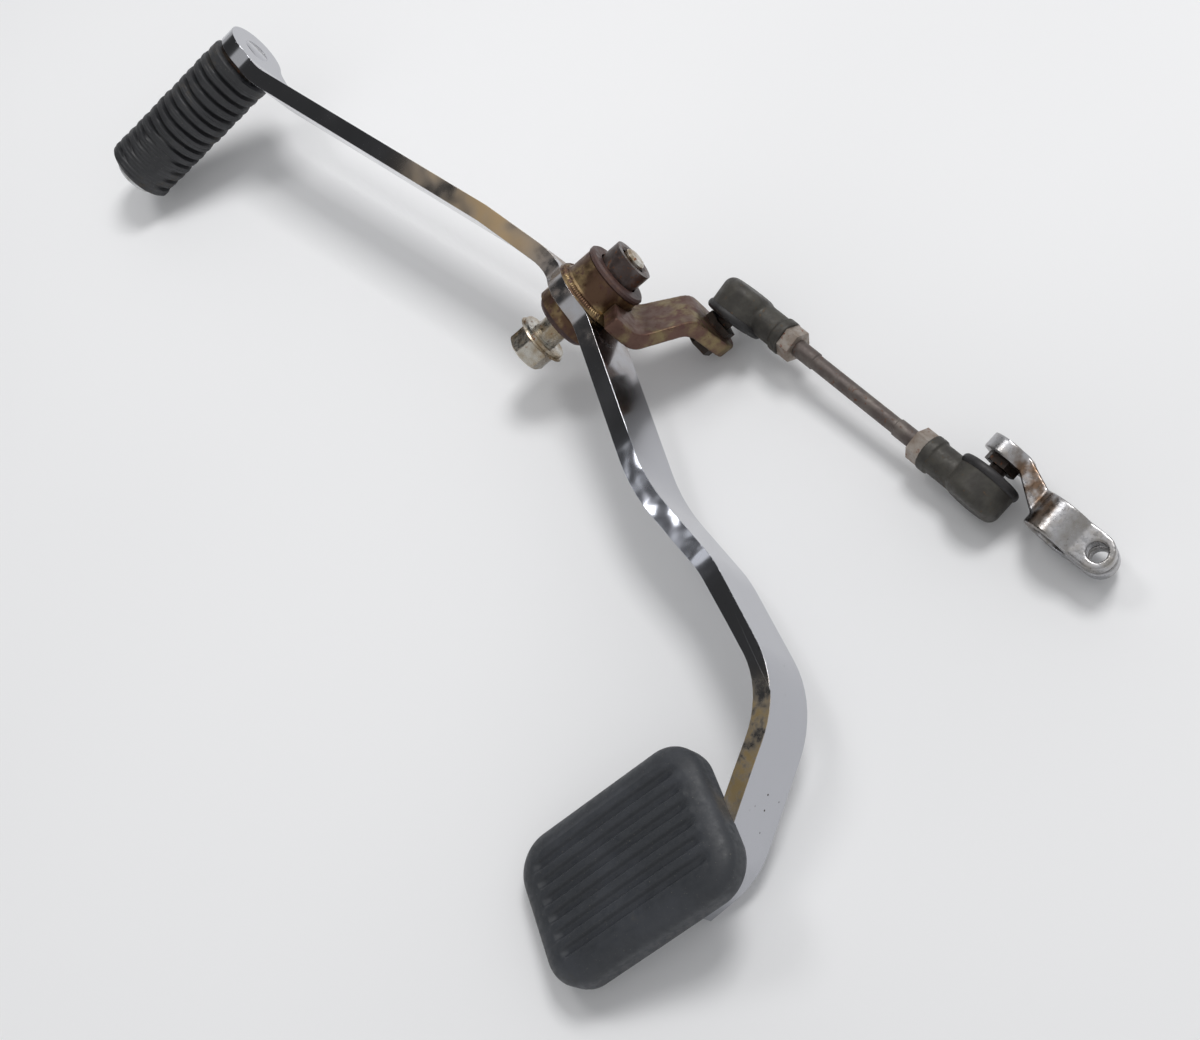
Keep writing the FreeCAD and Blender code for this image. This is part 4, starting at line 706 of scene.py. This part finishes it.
def weld_bead(name, node, material, at, ring_mm, drop_mm, start, sweep):
    """One run of weld round the outboard axis, starting and sweeping in degrees."""
    holder = bpy.data.objects.new(name + "_run", bpy.data.meshes.new(name + "_run"))
    bpy.context.scene.collection.objects.link(holder)
    run = holder.modifiers.new("bead", "NODES")
    run.node_group = bead_tree()
    values = {"Ring Radius": ring_mm * MM, "Drop Size": drop_mm * MM, "Spacing": drop_mm * 0.5 * MM,
              "Start": math.radians(start), "Sweep": math.radians(sweep), "Steel": material}
    for item in run.node_group.interface.items_tree:
        if item.name in values:
            run[item.identifier] = values[item.name]
    piece = baked(holder, name)
    side = Vector((1, 0, 0))
    side = (side - OUTBOARD * side.dot(OUTBOARD)).normalized()
    turn = Matrix((side, OUTBOARD.cross(side), OUTBOARD)).transposed().to_4x4()
    piece.data.transform(Matrix.Translation(at) @ turn)
    piece.data.shade_smooth()
    settle(piece, material, node)


eased("lever_bar", chrome, round_mm=1.0, ledges=BAR_LEDGE)
softened("link_arm", stained_arm, voxel_mm=0.4, passes=14)
softened("shift_crank", crank_steel, voxel_mm=0.27, passes=22)
softened("rod_end_lever", housing_plate, voxel_mm=0.35, passes=4)
softened("rod_end_crank", housing_plate, voxel_mm=0.35, passes=4)
heel_pad_piece()
joint_boot("boot_lever", "lever_joint_swivel")
joint_boot("boot_crank", "crank_joint_swivel")
toe_grip_piece()
toe_peg_piece()
weld_bead("boss_weld", "pivot_tube", stained_boss, at=PIVOT - OUTBOARD * BAR_FACE * MM, ring_mm=12.3,
          drop_mm=1.5, start=200, sweep=290)


# ------------------------------------------------------------------ table, light and camera
def white_table():
    """White laminate: plain and dull, very slightly uneven in tone."""
    bpy.ops.mesh.primitive_plane_add(size=TABLE_SIZE, location=(0, 0, cad_box[0][2] - TABLE_GAP))
    top = bpy.context.object
    top.name = "table_top"
    made, tree, shader, place = finish_named("white_laminate")
    shader.inputs["Roughness"].default_value = 0.9
    cloud = add(tree, NOISE, {**CLOUDS, "Scale": per_mm(300), "Detail": 1.0}, Vector=place)
    paler = add(tree, RANGE, {**EASED, "From Min": 0.3, "From Max": 0.7}, Value=cloud)
    feed(tree, shader, Base_Color=add(tree, MIX, {**PAINT, "A": ink("#e9eaec"), "B": ink("#eff0f2")},
                                      Factor=paler))
    top.data.materials.append(made)


def room():
    """An evenly lit room with one dark side, which the upright faces of the chrome bar show. To the
    camera alone it is pale all round, so that no view ends in the dark side."""
    world = bpy.data.worlds.new("room")
    bpy.context.scene.world = world
    world.use_nodes = True
    tree = world.node_tree
    tree.nodes.clear()
    way = add(tree, "ShaderNodeTexCoord").outputs["Generated"]
    facing = add(tree, VECTOR_MATH, {"operation": "DOT_PRODUCT", 1: DARK_SIDE}, _0=way)
    walls = add(tree, "ShaderNodeValToRGB", Fac=facing)
    ramp = walls.color_ramp
    ramp.interpolation = "EASE"
    while len(ramp.elements) < len(ROOM_LEVELS):
        ramp.elements.new(0.5)
    for element, (at, level) in zip(ramp.elements, ROOM_LEVELS):
        element.position = at
        element.color = (level, level, level, 1)
    seen = add(tree, "ShaderNodeLightPath").outputs["Is Camera Ray"]
    lit = add(tree, "ShaderNodeBackground", {"Strength": 1.0}, Color=walls)
    pale = add(tree, "ShaderNodeBackground", {"Strength": 1.0, "Color": ink("#dfe1e4")})
    add(tree, "ShaderNodeOutputWorld", Surface=add(tree, "ShaderNodeMixShader", _0=seen, _1=lit, _2=pale))


def soft_lamp(name, at, size, power):
    """A square lamp that faces the origin."""
    lamp = bpy.data.lights.new(name, "AREA")
    lamp.size = size
    lamp.energy = power
    lamp.color = (1.0, 0.99, 0.98)
    made = bpy.data.objects.new(name, lamp)
    bpy.context.scene.collection.objects.link(made)
    made.location = at
    made.rotation_euler = Vector(at).to_track_quat("Z", "Y").to_euler()


def photo_camera():
    """The camera, where the photograph was taken from."""
    data = bpy.data.cameras.new("photo_camera")
    data.sensor_fit = "HORIZONTAL"
    data.sensor_width = SENSOR_MM
    data.lens = FOCAL_PIXELS * SENSOR_MM / PHOTO_WIDTH
    data.clip_start = 0.01
    data.clip_end = 50
    made = bpy.data.objects.new("photo_camera", data)
    bpy.context.scene.collection.objects.link(made)
    made.location = CAMERA_AT
    made.rotation_euler = [math.radians(a) for a in CAMERA_TURN]
    bpy.context.scene.camera = made


white_table()
room()
soft_lamp("window", at=(0.25, -0.50, 1.20), size=0.40, power=8.0)
soft_lamp("far_window", at=(0.60, 0.30, 1.20), size=0.35, power=2.6)
photo_camera()
bpy.context.scene.view_settings.view_transform = "Standard"
